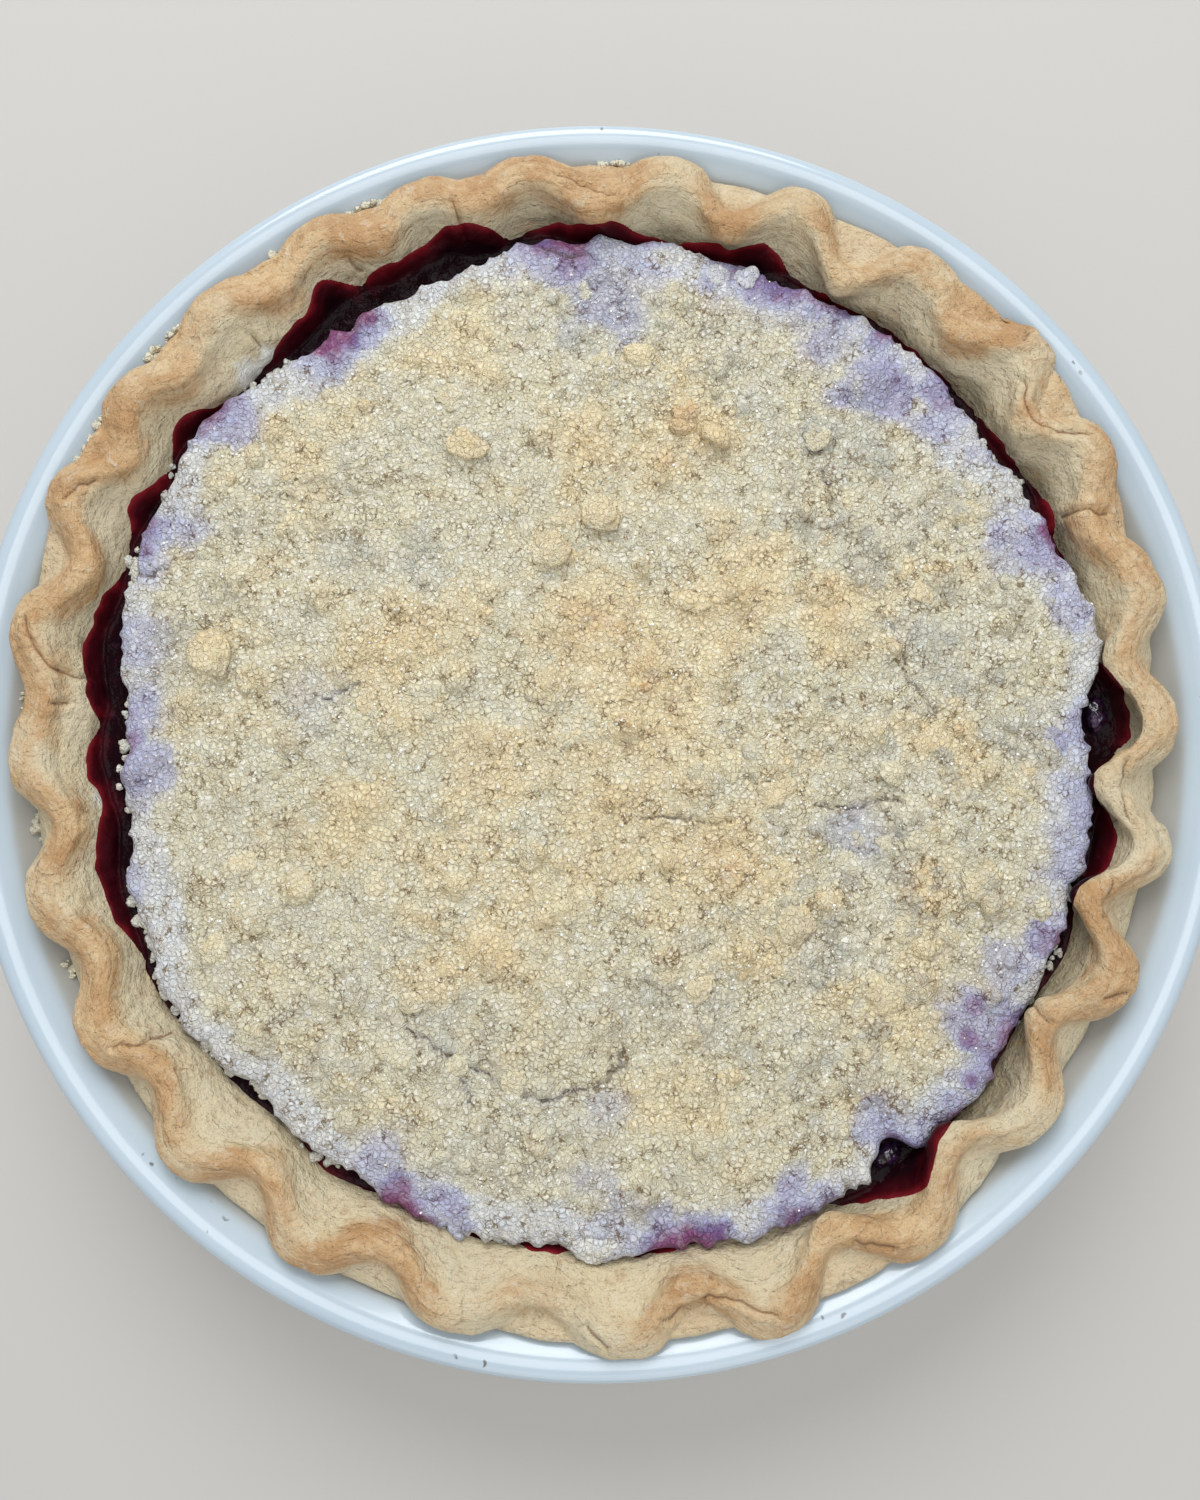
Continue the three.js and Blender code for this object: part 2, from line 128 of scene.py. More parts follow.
# where the jelly's outer edge is seen against the shell: degrees, and millimetres from the middle at SIGHT_Z
JELLY_LINE = [
    (0, 110), (3.5, 110), (5.5, 106), (9, 104), (14, 104.5), (20, 103), (25, 105), (28, 105), (31, 103.5),
    (45, 103.5), (57, 104), (64, 104), (67, 105), (68.5, 108), (70, 109.5), (72, 108.5), (74, 105.5),
    (76, 106.5), (78, 106), (80, 104.5), (84, 105), (87, 107.5), (90, 108), (94, 107.3), (98, 107),
    (99.5, 105.5), (101, 107), (102, 109), (103.5, 112), (105, 112), (107, 111.5), (110, 109), (113, 108.5),
    (116, 108), (118.5, 106), (119.7, 108), (121, 112), (122.5, 111), (124, 108), (126, 107), (129, 106),
    (131, 104), (134, 102.5), (137, 103), (139, 104), (141, 105.5), (142.5, 109), (145, 109.7), (147, 107),
    (149, 103), (151, 105), (152.5, 107.3), (154.5, 108.5), (156.5, 107), (158, 105), (160.5, 103),
    (163, 104), (165, 105.5), (167, 106), (170, 107), (172, 107), (174, 106), (177.5, 105), (180, 102),
    (183, 104.5), (187, 104), (190, 102.5), (194, 105), (196.5, 106.5), (199, 105.5), (203, 105.5),
    (206, 103.5), (213, 102.5), (221, 101.5), (230, 100.5), (237, 101), (242, 103.8), (246, 103),
    (251, 103.5), (256, 105), (272, 105.5), (277, 106.3), (282, 105.5), (290, 105.5), (295, 105.5),
    (297, 108), (299.5, 110), (302, 111.5), (305, 113.3), (306.5, 112), (308.5, 109), (311, 107.3),
    (317, 105), (324, 103.5), (330, 104), (337, 104), (341, 103), (343.5, 107), (345.5, 109.5), (348, 109),
    (350.5, 105), (352.5, 102.5), (356, 103), (357.5, 109)]
SIGHT_Z = 44.0
# creases and cracks in the pastry, each a line of places: degrees, and millimetres from the middle
CREASES = [
    [(22.5, 116), (23.7, 112.5), (24.5, 109)],
    [(30.5, 120), (32, 116), (34, 112.5), (36, 112), (39, 115.5)], [(42, 121), (42.3, 124)],
    [(88, 113.5), (90, 115), (94, 118)], [(104.8, 112), (105.2, 116)], [(117, 112), (117.8, 114)],
    [(131, 110), (131.2, 112)], [(154, 116), (155, 118.5), (157, 120)],
    [(169.5, 119.5), (172.5, 116.5), (174, 113), (174.5, 109.5), (174, 105)], [(177.5, 110), (177.8, 112)],
    [(214, 116), (215.3, 110.5), (216, 106)], [(269, 119), (270, 121), (271, 123)],
    [(276.5, 119), (279, 116.5), (281, 115.5), (284, 117.5), (287, 121.5)], [(296.5, 115), (299.5, 119.5)],
    [(326.5, 109), (327, 106.5), (327.3, 104)], [(331.5, 116), (333, 120)], [(339, 110), (343, 109.2)],
    [(350, 109.5), (356, 109)]]
# how grey the shell's inside is painted, for soaked pastry and for painted shade: middle and half width
# (degrees), strength
SOAKED_AND_SHADED = [(36, 27, 1.0), (318, 22, 1.0), (345, 14, 0.6), (8, 12, 0.6), (84, 16, 1.0)]
# dry flour on the shell's inside: degrees, millimetres from the middle, radius and strength
FLOUR = [
    (134, 106.5, 7, 1.3), (137, 104, 4, 1.2), (131, 108, 5, 1.0), (188, 106, 4, 0.6), (222, 104, 5, 0.4)]
# long cracks in the crumbs (mm)
CRACKS = [
    [(-39, -62.2), (-33.9, -64.3), (-28.7, -68.2), (-23.6, -71.2), (-18.5, -73.2), (-13.4, -76.2),
     (-7.3, -75.6), (-1.3, -74.2), (2.4, -72.2), (3.4, -67.3)],
    [(45.3, -16), (52.6, -17), (58.8, -15.3), (64, -16)], [(9.1, -19.5), (17.3, -19.1), (27.7, -19.9)],
    [(-99.4, 33.1), (-94.1, 32.7), (-90.9, 33.6)], [(-56.6, 5.5), (-52.5, 7.6), (-49.4, 9.1)],
    [(-12.2, 104.6), (-5.7, 103), (-1.4, 103.9), (-0.3, 101.6)],
    [(59.6, 24.6), (63.7, 18.2), (64.6, 11.9), (68.6, 5.5)], [(47.5, 54.8), (49.6, 50.4), (49.4, 43.9)],
    [(62.8, -21.6), (63.8, -25.7)], [(-30.8, -66.5), (-27.5, -72), (-25, -78)],
    [(2, -72.4), (5, -69), (5.4, -64.8)], [(75, 47), (76.5, 43.5), (75.6, 39.8)]]
# juice under the crumbs: x, y, radius (mm) and strength; below 1 lilac, above it violet and magenta
STAINS = [
    (-9, 103, 10, 1.0), (-5, 101, 4, 1.5), (0, 92, 12, 0.8), (8, 101, 8, 0.7), (35, 96, 8, 0.95),
    (36, 93, 3, 1.4), (49, 81.5, 6, 0.9), (59, 77, 9, 1.2), (65, 73, 8, 1.25), (73, 71, 8, 1.3),
    (86, 60, 6, 0.8), (93, 39, 9, 1.0), (95, 41, 3, 1.5), (88, 35, 6, 0.7), (99, 27, 6, 0.8),
    (102, -2, 8, 0.8), (97, -3, 4, 1.1), (-54, 84, 8, 1.1), (-51.5, 90, 4, 2.1), (-61, 80, 7, 0.85),
    (-48, 87, 5, 0.9), (-77, 66, 6, 1.0), (-88, 42, 5, 0.75), (-93, 35, 5, 0.7), (-95, 18, 7, 0.6),
    (-95, 3, 7, 0.9), (-93, -8, 7, 0.95), (-96, -2, 3, 1.3), (-96, -32, 5, 0.6), (-43, -88, 8, 0.8),
    (-39, -94, 5, 1.5), (-33, -96, 7, 0.9), (4, -98, 9, 0.65), (13, -100, 5, 1.0), (17, -103, 3.5, 1.6),
    (39, -95, 6, 1.1), (38, -98, 3, 1.5), (60, -80, 8, 0.9), (72, -77, 7, 1.0), (77, -73, 4, 1.7),
    (75, -61, 8, 1.0), (76, -65, 3, 1.7), (77.5, -58, 3, 1.5), (84, -48, 8, 0.8), (92, -44, 5, 1.3),
    (97, -26, 6, 0.7), (54, -24, 8, 0.55), (1, -78, 6, 0.5), (-61, 5, 9, 0.3), (103, -9, 4, 0.8)]
# juice along the topping's edge: middle and half width (degrees), how far in it reaches (mm) and strength
EDGE_STAINS = [
    (23, 3, 7, 1.5), (44, 2.5, 7, 1.1), (54, 1.6, 9, 1.2), (67, 9, 12, 1.35), (84, 3, 6, 1.0),
    (94.5, 5, 10, 1.5), (123.5, 5.5, 10, 1.8), (139, 4, 8, 1.3), (156, 3, 9, 1.1), (249, 5, 8, 1.5),
    (279.5, 4.5, 9, 1.7), (292, 5.5, 7, 1.25), (307.5, 3, 7, 1.3), (313.5, 4, 5, 1.35),
    (319.5, 2.5, 9, 1.2), (323.5, 3, 7, 1.2), (336, 3, 7, 1.35), (348, 10, 11, 0.8)]
# where the topping runs up to the shell: middle and half width (degrees), how much further out (mm)
FURTHER_OUT = [(15, 9, 1.2), (39, 16, 1.5), (74, 8, 1.0), (214, 22, 1.1), (320, 12, 0.9)]
# thin, greyer crumbs and golden, toasted ones: x, y, radius (mm) and strength
THIN = [
    (1, 88, 15, 0.9), (48, 63, 7, 1), (57, 59, 9, 0.9), (70, 20, 9, 0.9), (73, 12, 7, 0.8),
    (60, -27, 10, 0.9), (52, -24, 8, 1), (-37, 36, 11, 0.7), (-54, 36, 10, 0.7), (-62, 7, 10, 0.5),
    (-30, -66, 16, 0.6), (-12, -79, 17, 0.5), (22, -59, 12, 0.6), (46, -47, 12, 0.6), (-20, -92, 18, 0.5),
    (60, -60, 16, 0.3), (88, 52, 16, 0.5), (93, 0, 14, 0.6), (-93, 15, 14, 0.7), (35, 76, 14, 0.5),
    (20, -95, 15, 0.4)]
GOLDEN = [
    (-32, 86, 15, 0.8), (8, 80, 7, 0.7), (20, 65, 13, 0.7), (-8, 62, 11, 0.6), (32, 35, 13, 0.9),
    (53, 20, 12, 1.0), (5, 16, 16, 0.9), (10, 4, 17, 0.8), (-24, -11, 16, 0.6), (-45, -17, 14, 0.5),
    (25, 22, 14, 0.8), (74, -5, 9, 0.9), (67, -30, 9, 0.7), (40, -40, 12, 0.9), (22, -30, 14, 0.7),
    (-11, -36, 12, 0.8), (-24, -46, 10, 0.7), (19, -75, 12, 0.7), (9, -21, 14, 0.6), (56, -57, 12, 0.6),
    (-67, -26, 12, 0.5), (-70, 20, 14, 0.6), (53, 46, 9, 0.6), (-62, 53, 10, 0.6), (-41, 18, 12, 0.5),
    (29, -80, 9, 0.6)]
# where the crumbs are coarse: x, y, radius (mm) and strength
COARSE = [
    (62, 42, 28, 1.0), (76, 2, 22, 1.0), (62, -36, 28, 1.0), (46, -68, 22, 0.9), (22, 76, 20, 0.7),
    (-62, 54, 20, 0.5), (-76, -30, 22, 0.4), (-20, -84, 24, 0.6), (2, -100, 16, 0.8), (92, 34, 14, 0.6),
    (36, 0, 18, 0.5), (-86, 18, 14, 0.4), (-6, 44, 14, 0.5), (14, -54, 20, 0.6), (-58, -62, 18, 0.7)]
# lumps that stand out: x, y, size across (mm) and how toasted they are
SHOWN_LUMPS = [
    (-27.7, 59.5, 7, 1.9), (18.8, 67.1, 4.5, 2.0), (-9.7, 36.9, 9, 0.7), (-6.6, 43.8, 6, 0.6),
    (0.8, 44.4, 7, 1.2), (-81.3, 14.7, 9.5, 1.1), (79.5, -31.8, 8, 0.9), (9.3, 80.2, 6.5, 0.9),
    (0.8, 78.5, 5.5, 0.6), (-60.5, 63.8, 7, 0.6), (-31.6, 70.4, 5, 0.6), (-1.3, 64.9, 7, 0.8),
    (-65.6, 54.1, 4, 1.2), (59.7, 49.8, 5.5, 0.3), (68.7, 28.8, 7, 0.7), (19.6, 26.3, 6, 0.8),
    (27.6, -7.2, 7, 0.6), (36.8, -13.4, 8, 0.7), (54.1, -23.6, 4.5, 0.1), (60.2, -24.7, 5, 0.2),
    (63.3, -24.7, 4.5, 0.3), (66.6, -23.8, 5, 0.3), (51.9, -28.7, 4.5, 0.1), (92.2, -37.5, 5.5, 0.3),
    (57.5, -55, 8, 0.8), (21.1, -54, 7, 0.7), (-29.2, -4.1, 6.5, 0.6), (-72.9, -28.7, 7.5, 0.8),
    (-40.6, -66.9, 6, 0.5), (-31.3, -87.6, 4.5, 0.3), (-27.1, -88.8, 5, 0.3), (-28.5, -69.9, 7, 0.5),
    (-0.2, -105.6, 7, 0.3), (-23.6, -44.9, 6.5, 0.9), (-10.4, -39.9, 6, 1.3), (49, -81.7, 5, 0.2),
    (71, -3, 7.5, 1.2), (61.6, -9.3, 6, 0.5), (-47.9, 5.3, 6, 0.5), (39.7, -40, 9, 1.1),
    (-37.6, -56.5, 4.5, 0.6), (-46, -33, 6, 0.6), (47, 62, 6, 0.4), (26, 99, 6, 0.3), (32, 97.5, 6, 0.3),
    (-79, -45.5, 6, 0.8), (-3, 96, 4, 0.2), (-17, -72.5, 6.5, 0.5), (64, -42.5, 6, 0.9)]
# crumbs stuck to the dish's wall: first and last degree, nearest and furthest from the middle (mm), how many
WALL_CRUMBS = [
    (60, 64, 119.5, 121.5, 24), (86, 91, 121.5, 123.4, 30), (111, 116, 121, 124, 60),
    (122, 124.5, 122, 124, 20), (134, 141, 121, 124.5, 80), (146, 153, 121.5, 124.5, 56),
    (176, 180.5, 118.5, 121.5, 40), (189, 192, 118, 120, 14), (203, 206, 117, 121, 16)]
# crumbs that lie on the jelly beside the topping: first and last degree, how many
JELLY_CRUMBS = [
    (129, 136, 14), (147, 152, 8), (158, 163, 18), (176, 193, 26), (197, 228, 110), (232, 240, 16),
    (252, 270, 40), (6, 40, 60), (322, 335, 24), (338, 342, 8)]


# ------------------------------------------------------------------ numbers and noise


def lerp(a, b, t):
    """From a to b as t goes from 0 to 1."""
    return a + (b - a) * t


def ease(t):
    """0 to 1 with a level start and end."""
    return 0.5 - 0.5 * np.cos(np.pi * t)


def smoothstep(low, high, x):
    """0 below low and 1 above high, smoothly between them; falls instead where low is the larger."""
    t = np.clip((x - low) / (high - low), 0, 1)
    return t * t * (3 - 2 * t)


def chance(i, j, seed):
    """A number from 0 to 1 for each pair of whole numbers, the same as the part's own rule."""
    i, j, seed = (np.asarray(v, np.int64).astype(np.uint32) for v in (i, j, seed))
    with np.errstate(over="ignore"):
        h = i * np.uint32(374761393) ^ j * np.uint32(668265263) ^ seed * np.uint32(974634777)
        h = (h ^ (h >> np.uint32(13))) * np.uint32(1274126177)
        h = (h ^ (h >> np.uint32(15))) * np.uint32(2246822519)
    return (h ^ (h >> np.uint32(16))) / 4294967296.0


def hills(x, y, seed):
    """Smooth noise from -1 to 1 over a plane, with hills one unit apart."""
    i, j = np.floor(x), np.floor(y)
    u, v = ease(x - i), ease(y - j)
    low = lerp(chance(i, j, seed), chance(i + 1, j, seed), u)
    high = lerp(chance(i, j + 1, seed), chance(i + 1, j + 1, seed), u)
    return 2 * lerp(low, high, v) - 1


def hills_round(deg, count, seed):
    """Smooth noise from -1 to 1 round the pie, with count hills in a turn."""
    t = (deg % 360) / 360 * count
    i = np.floor(t) % count
    return 2 * lerp(chance(i, 0, seed), chance((i + 1) % count, 0, seed), ease(t - np.floor(t))) - 1


def hills_in_space(p, size, seed):
    """Smooth noise from -1 to 1 through space, for points in rows."""
    q = p / size
    cell = np.floor(q)
    f = ease(q - cell)
    total = 0.0
    for dx in (0, 1):
        for dy in (0, 1):
            for dz in (0, 1):
                weight = ((f[:, 0] if dx else 1 - f[:, 0]) * (f[:, 1] if dy else 1 - f[:, 1])
                          * (f[:, 2] if dz else 1 - f[:, 2]))
                k = cell[:, 2] + dz
                i, j = cell[:, 0] + dx + 7919 * k, cell[:, 1] + dy + 104729 * k
                total = total + weight * chance(i, j, seed)
    return 2 * total - 1


def rough_plane(x, y, size, octaves, seed):
    """Hills of one size with ever smaller ones on them."""
    return sum(hills(x * 2 ** k / size, y * 2 ** k / size, seed + k) / 2 ** k for k in range(octaves))


def rough_space(p, size, octaves, seed):
    """The same through space, for points in rows."""
    return sum(hills_in_space(p, size / 2 ** k, seed + k) / 2 ** k for k in range(octaves))


def pebbles(x, y, size, seed, spread=0.9):
    """Cells of crumbs packed side by side: distance to the nearest middle, and a chance for each cell."""
    u, v = x / size, y / size
    ci, cj = np.floor(u), np.floor(v)
    near = np.full(x.shape, 9.0)
    which = np.zeros(x.shape)
    for di in (-1, 0, 1):
        for dj in (-1, 0, 1):
            i, j = ci + di, cj + dj
            px = i + 0.5 + spread * (chance(i, j, seed) - 0.5)
            py = j + 0.5 + spread * (chance(i, j, seed + 1) - 0.5)
            d = np.hypot(u - px, v - py)
            closer = d < near
            which = np.where(closer, chance(i, j, seed + 2), which)
            near = np.where(closer, d, near)
    return near, which


def spots(x, y, places, seed, ragged=0.35):
    """The strongest of several soft round patches with ragged outlines, at each point."""
    out = np.zeros(x.shape)
    wave = ragged * rough_plane(x, y, 7.0, 3, seed)
    for px, py, radius, strength in places:
        d = np.hypot(x - px, y - py) / radius + wave
        out = np.maximum(out, strength * smoothstep(1.35, 0.25, d))
    return out


def from_line(x, y, line):
    """Distance from each point to the nearest stretch of a line."""
    out = np.full(x.shape, 1e3)
    for (ax, ay), (bx, by) in zip(line, line[1:]):
        dx, dy = bx - ax, by - ay
        t = np.clip(((x - ax) * dx + (y - ay) * dy) / (dx * dx + dy * dy), 0, 1)
        out = np.minimum(out, np.hypot(x - ax - t * dx, y - ay - t * dy))
    return out


def wandering(line, step, sway, seed):
    """The line with more points, none of them far from it, so that it runs as a crack does."""
    out = []
    for k, (start, end) in enumerate(zip(line, line[1:])):
        length = math.dist(start, end)
        count = max(1, round(length / step))
        for i in range(count):
            off = sway * (chance(i, k, seed) - 0.5)
            t = i / count
            out.append((lerp(start[0], end[0], t) - off * (end[1] - start[1]) / length,
                        lerp(start[1], end[1], t) + off * (end[0] - start[0]) / length))
    return out + [line[-1]]


def around(deg, middle):
    """How many degrees apart two angles are."""
    return np.abs((deg - middle + 540) % 360 - 180)


def at_angle(deg, r):
    """The place x, y at an angle and a distance from the middle."""
    return r * math.cos(math.radians(deg)), r * math.sin(math.radians(deg))


def spin(radians):
    """A matrix that turns rows of points about the upright axis."""
    c, s = math.cos(radians), math.sin(radians)
    return np.array([[c, s, 0], [-s, c, 0], [0, 0, 1]])


# ------------------------------------------------------------------ the forms, as in the part

def wall_radius(z):
    """How far out the inside of the dish's wall is at a height."""
    above = np.maximum(0, z - FLARE_Z)
    return FLARE_R + WALL_SLOPE * (z - FLARE_Z) + FLARE_RATE * above * above


def wall_height(r):
    """How high the inside of the dish's wall is at a distance from the middle."""
    out = r - FLARE_R
    return FLARE_Z + (np.sqrt(WALL_SLOPE ** 2 + 4 * FLARE_RATE * out) - WALL_SLOPE) / (2 * FLARE_RATE)


def edge_at(deg):
    """The fluted edge at each angle: how much it bulges out, how far it reaches, its crest and its foot."""
    deg = deg % 360
    starts = np.array(FLUTE_DEG, float)
    k = np.searchsorted(starts, deg, side="right") - 1
    following = (k + 1) % len(starts)
    end = np.where(following == 0, 360 + starts[0], starts[following])
    along = (deg - starts[k]) / (end - starts[k])
    bulge = 0.5 + 0.5 * np.cos(2 * np.pi * along)
    reach = np.array(FLUTE_REACH, float)
    reach = lerp(reach[k], reach[following], ease(along))
    crest = lerp(np.array(PINCH_R, float)[k], reach - REACH_TO_CREST, bulge)
    crest_z = CREST_Z - PINCH_DROP * (1 - bulge) + CREST_SWAY * hills_round(deg, CREST_WAVES, SEED + 1)
    foot = np.minimum(reach - FOOT_TUCK, FOOT_MAX_R)
    return {"bulge": bulge, "reach": reach, "crest": crest, "crest_z": crest_z, "foot": foot,
            "foot_z": wall_height(foot) + GAP + FOOT_LIFT, "fill": np.array(PINCH_FILL, float)[k]}


def round_the(radii, spacing, deg):
    """The value at each angle of a row of radii with even spacing round the pie."""
    t = (deg % 360) / spacing
    k = np.floor(t).astype(int)
    radii = np.array(radii, float)
    count = len(radii)
    return lerp(radii[k % count], radii[(k + 1) % count], ease(t - k))


def shell_inside(deg):
    """How far out the shell's inside is at the jelly's level, above it and low down."""
    edge = edge_at(deg)
    bulge, crest = edge["bulge"], edge["crest"]
    level = round_the(INSIDE_R, INSIDE_DEG, deg) + INSIDE_SWAY * (2 * bulge - 1)
    above_pinch = np.minimum(level + LEAN_PINCH, crest - PINCH_BACK)
    return {"level": lerp(np.minimum(level, crest + PINCH_OVERHANG), level, bulge),
            "above": lerp(above_pinch, level + LEAN_BULGE, bulge),
            "low": 0 * deg + wall_radius(SHELL_LOW_Z) - SHELL_T - SHELL_LOW_IN}


def topping_edge(deg):
    """How far out the topping reaches at each angle, clear of the shell and of the grape skins."""
    plain = round_the(TOPPING_EDGE_R, TOPPING_EDGE_DEG, deg)
    inside = shell_inside(deg)
    out = np.minimum(inside["above"], inside["level"] + 1) - 2 * GAP
    out = np.minimum(out, plain + EDGE_NOTCH * hills_round(deg, EDGE_NOTCHES, SEED + 2))
    for grape in GRAPES:
        apart = np.radians(around(deg, grape["deg"])) * grape["r"]
        beside = grape["r"] - grape["half"][1] - 2 * GAP + GRAPE_BAY * (apart / grape["half"][0]) ** 2
        out = np.minimum(out, beside)
    return out


def mound(x, y, at):
    """A round lump of height 1 at a place with its own radius."""
    d = np.hypot(x - at[0], y - at[1]) / at[2]
    return np.clip(1 - d * d, 0, None) ** 1.5


def scattered_lumps():
    """Lumps spread evenly over the topping: x, y, radius and height."""
    i = np.arange(LUMP_COUNT)
    r = LUMPS_OUT_TO * np.sqrt((i + 0.5) / LUMP_COUNT) + LUMP_STRAY * (chance(i, 1, SEED) - 0.5)
    turn = np.radians(i * LUMP_TURN + LUMP_TURN_STRAY * (chance(i, 2, SEED) - 0.5))
    return list(zip(r * np.cos(turn), r * np.sin(turn), lerp(*LUMP_R, chance(i, 3, SEED)),
                    lerp(*LUMP_H, chance(i, 4, SEED))))


LUMPS = BIG_LUMPS + scattered_lumps()


def topping_height(x, y, share):
    """The topping's broad form, and how much of it is lumps; share is 0 in the middle and 1 at the edge."""
    dome = lerp(TOPPING_TOP_Z, TOPPING_EDGE_Z + BROW_DROP, share ** DOME_POWER)
    swell = SWELL * hills(x / SWELL_SPACING, y / SWELL_SPACING, SEED + 3)
    raised = np.zeros_like(x)
    for lump in LUMPS:
        raised = np.maximum(raised, lump[3] * mound(x, y, lump))
    sunk = sum(hollow[3] * mound(x, y, hollow) for hollow in HOLLOWS)
    return dome + swell + raised - sunk, raised


# ------------------------------------------------------------------ meshes

def make_piece(name, points, faces, material, smooth=True, values=None):
    """A mesh object at the origin from points in mm, with named values on its points."""
    mesh = bpy.data.meshes.new(name)
    points = np.asarray(points, float) * MM
    sides = faces.shape[1]
    mesh.vertices.add(len(points))
    mesh.vertices.foreach_set("co", points.ravel())
    mesh.loops.add(faces.size)
    mesh.loops.foreach_set("vertex_index", faces.ravel().astype(np.int32))
    mesh.polygons.add(len(faces))
    mesh.polygons.foreach_set("loop_start", np.arange(0, faces.size, sides, dtype=np.int32))
    mesh.update(calc_edges=True)
    mesh.validate()
    for key, numbers in (values or {}).items():
        layer = mesh.attributes.new(key, "FLOAT", "POINT")
        layer.data.foreach_set("value", np.asarray(numbers, np.float32))
    mesh.polygons.foreach_set("use_smooth", np.full(len(mesh.polygons), smooth))
    mesh.materials.append(material)
    piece = bpy.data.objects.new(name, mesh)
    bpy.context.scene.collection.objects.link(piece)
    return piece


def ring_faces(rings, sides):
    """Triangles between rings of points, each one ring outside or above the one before."""
    k, i = np.meshgrid(np.arange(rings - 1), np.arange(sides), indexing="ij")
    a = (k * sides + i).ravel()
    b = (k * sides + (i + 1) % sides).ravel()
    return np.concatenate([np.stack([a, b, b + sides], 1), np.stack([a, b + sides, a + sides], 1)])


def fan_faces(middle, ring_start, sides, outwards):
    """Triangles from one middle point to a ring."""
    i = np.arange(sides)
    a, b = ring_start + i, ring_start + (i + 1) % sides
    mid = np.full(sides, middle)
    return np.stack([mid, a, b] if outwards else [mid, b, a], 1)


def closed_faces(rings, sides):
    """Faces of a body of rings, whose last two points close it below and above."""
    low = rings * sides
    return np.concatenate([ring_faces(rings, sides), fan_faces(low, 0, sides, False),
                           fan_faces(low + 1, (rings - 1) * sides, sides, True)])


def lathe(profile, sides):
    """Points and faces of a turned body whose profile runs from the axis below to the axis above."""
    profile = np.array(profile, float)
    turn = np.radians(np.arange(sides) * 360 / sides)
    body = profile[1:-1]
    x = body[:, :1] * np.cos(turn)
    y = body[:, :1] * np.sin(turn)
    z = body[:, 1:] + 0 * x
    points = np.stack([x.ravel(), y.ravel(), z.ravel()], 1)
    points = np.concatenate([points, [[0, 0, profile[0, 1]], [0, 0, profile[-1, 1]]]])
    return points, closed_faces(len(body), sides)


def smooth_through(controls, steps):
    """A Catmull-Rom curve through rows of controls, each span cut into its own number of steps."""
    controls = np.asarray(controls, float)
    before = np.concatenate([controls[:1], controls[:-1]])
    after = np.concatenate([controls[1:], controls[-1:]])
    beyond = np.concatenate([controls[2:], controls[-1:], controls[-1:]])
    out = []
    for k, count in enumerate(steps):
        for t in np.arange(count) / count:
            p0, p1, p2, p3 = before[k], controls[k], after[k], beyond[k]
            out.append(0.5 * (2 * p1 + (p2 - p0) * t + (2 * p0 - 5 * p1 + 4 * p2 - p3) * t * t
                              + (3 * p1 - p0 - 3 * p2 + p3) * t ** 3))
    out.append(controls[-1])
    return np.array(out)


# ------------------------------------------------------------------ node trees

def srgb(red, green, blue):
    """A colour read off as 0 to 255 on screen, as the shader wants it."""
    def linear(c):
        c = c / 255
        return c / 12.92 if c <= 0.04045 else ((c + 0.055) / 1.055) ** 2.4
    return (linear(red), linear(green), linear(blue), 1.0)


class Value:
    """A socket that adds, subtracts and multiplies like a number."""

    def __init__(self, tree, socket):
        self.tree, self.socket = tree, socket

    def math(self, operation, *terms):
        return self.tree.value("ShaderNodeMath", {"operation": operation}, *terms)

    def __add__(self, other):
        return self.math("ADD", self, other)

    __radd__ = __add__

    def __sub__(self, other):
        return self.math("SUBTRACT", self, other)

    def __rsub__(self, other):
        return self.math("SUBTRACT", other, self)

    def __mul__(self, other):
        return self.math("MULTIPLY", self, other)

    __rmul__ = __mul__

    def between(self, low, high, to_low=0.0, to_high=1.0):
        """Rises smoothly from to_low to to_high while this goes from low to high."""
        settings = {"interpolation_type": "SMOOTHSTEP"}
        return self.tree.value("ShaderNodeMapRange", settings, self, low, high, to_low, to_high)


class Tree:
    """A node tree, of a material or of Geometry Nodes, written as expressions."""

    def __init__(self, tree):
        self.tree = tree

    def node(self, kind, settings=None, *terms, **named):
        node = self.tree.nodes.new(kind)
        for key, setting in (settings or {}).items():
            setattr(node, key, setting)
        for index, term in enumerate(terms):
            if term is not None:
                self.feed(node.inputs[index], term)
        for key, term in named.items():
            self.feed(node.inputs[key.replace("_", " ")], term)
        return node

    def feed(self, socket, term):
        if isinstance(term, Value):
            self.tree.links.new(term.socket, socket)
        else:
            socket.default_value = term

    def value(self, kind, settings=None, *terms, output=0, **named):
        return Value(self, self.node(kind, settings, *terms, **named).outputs[output])


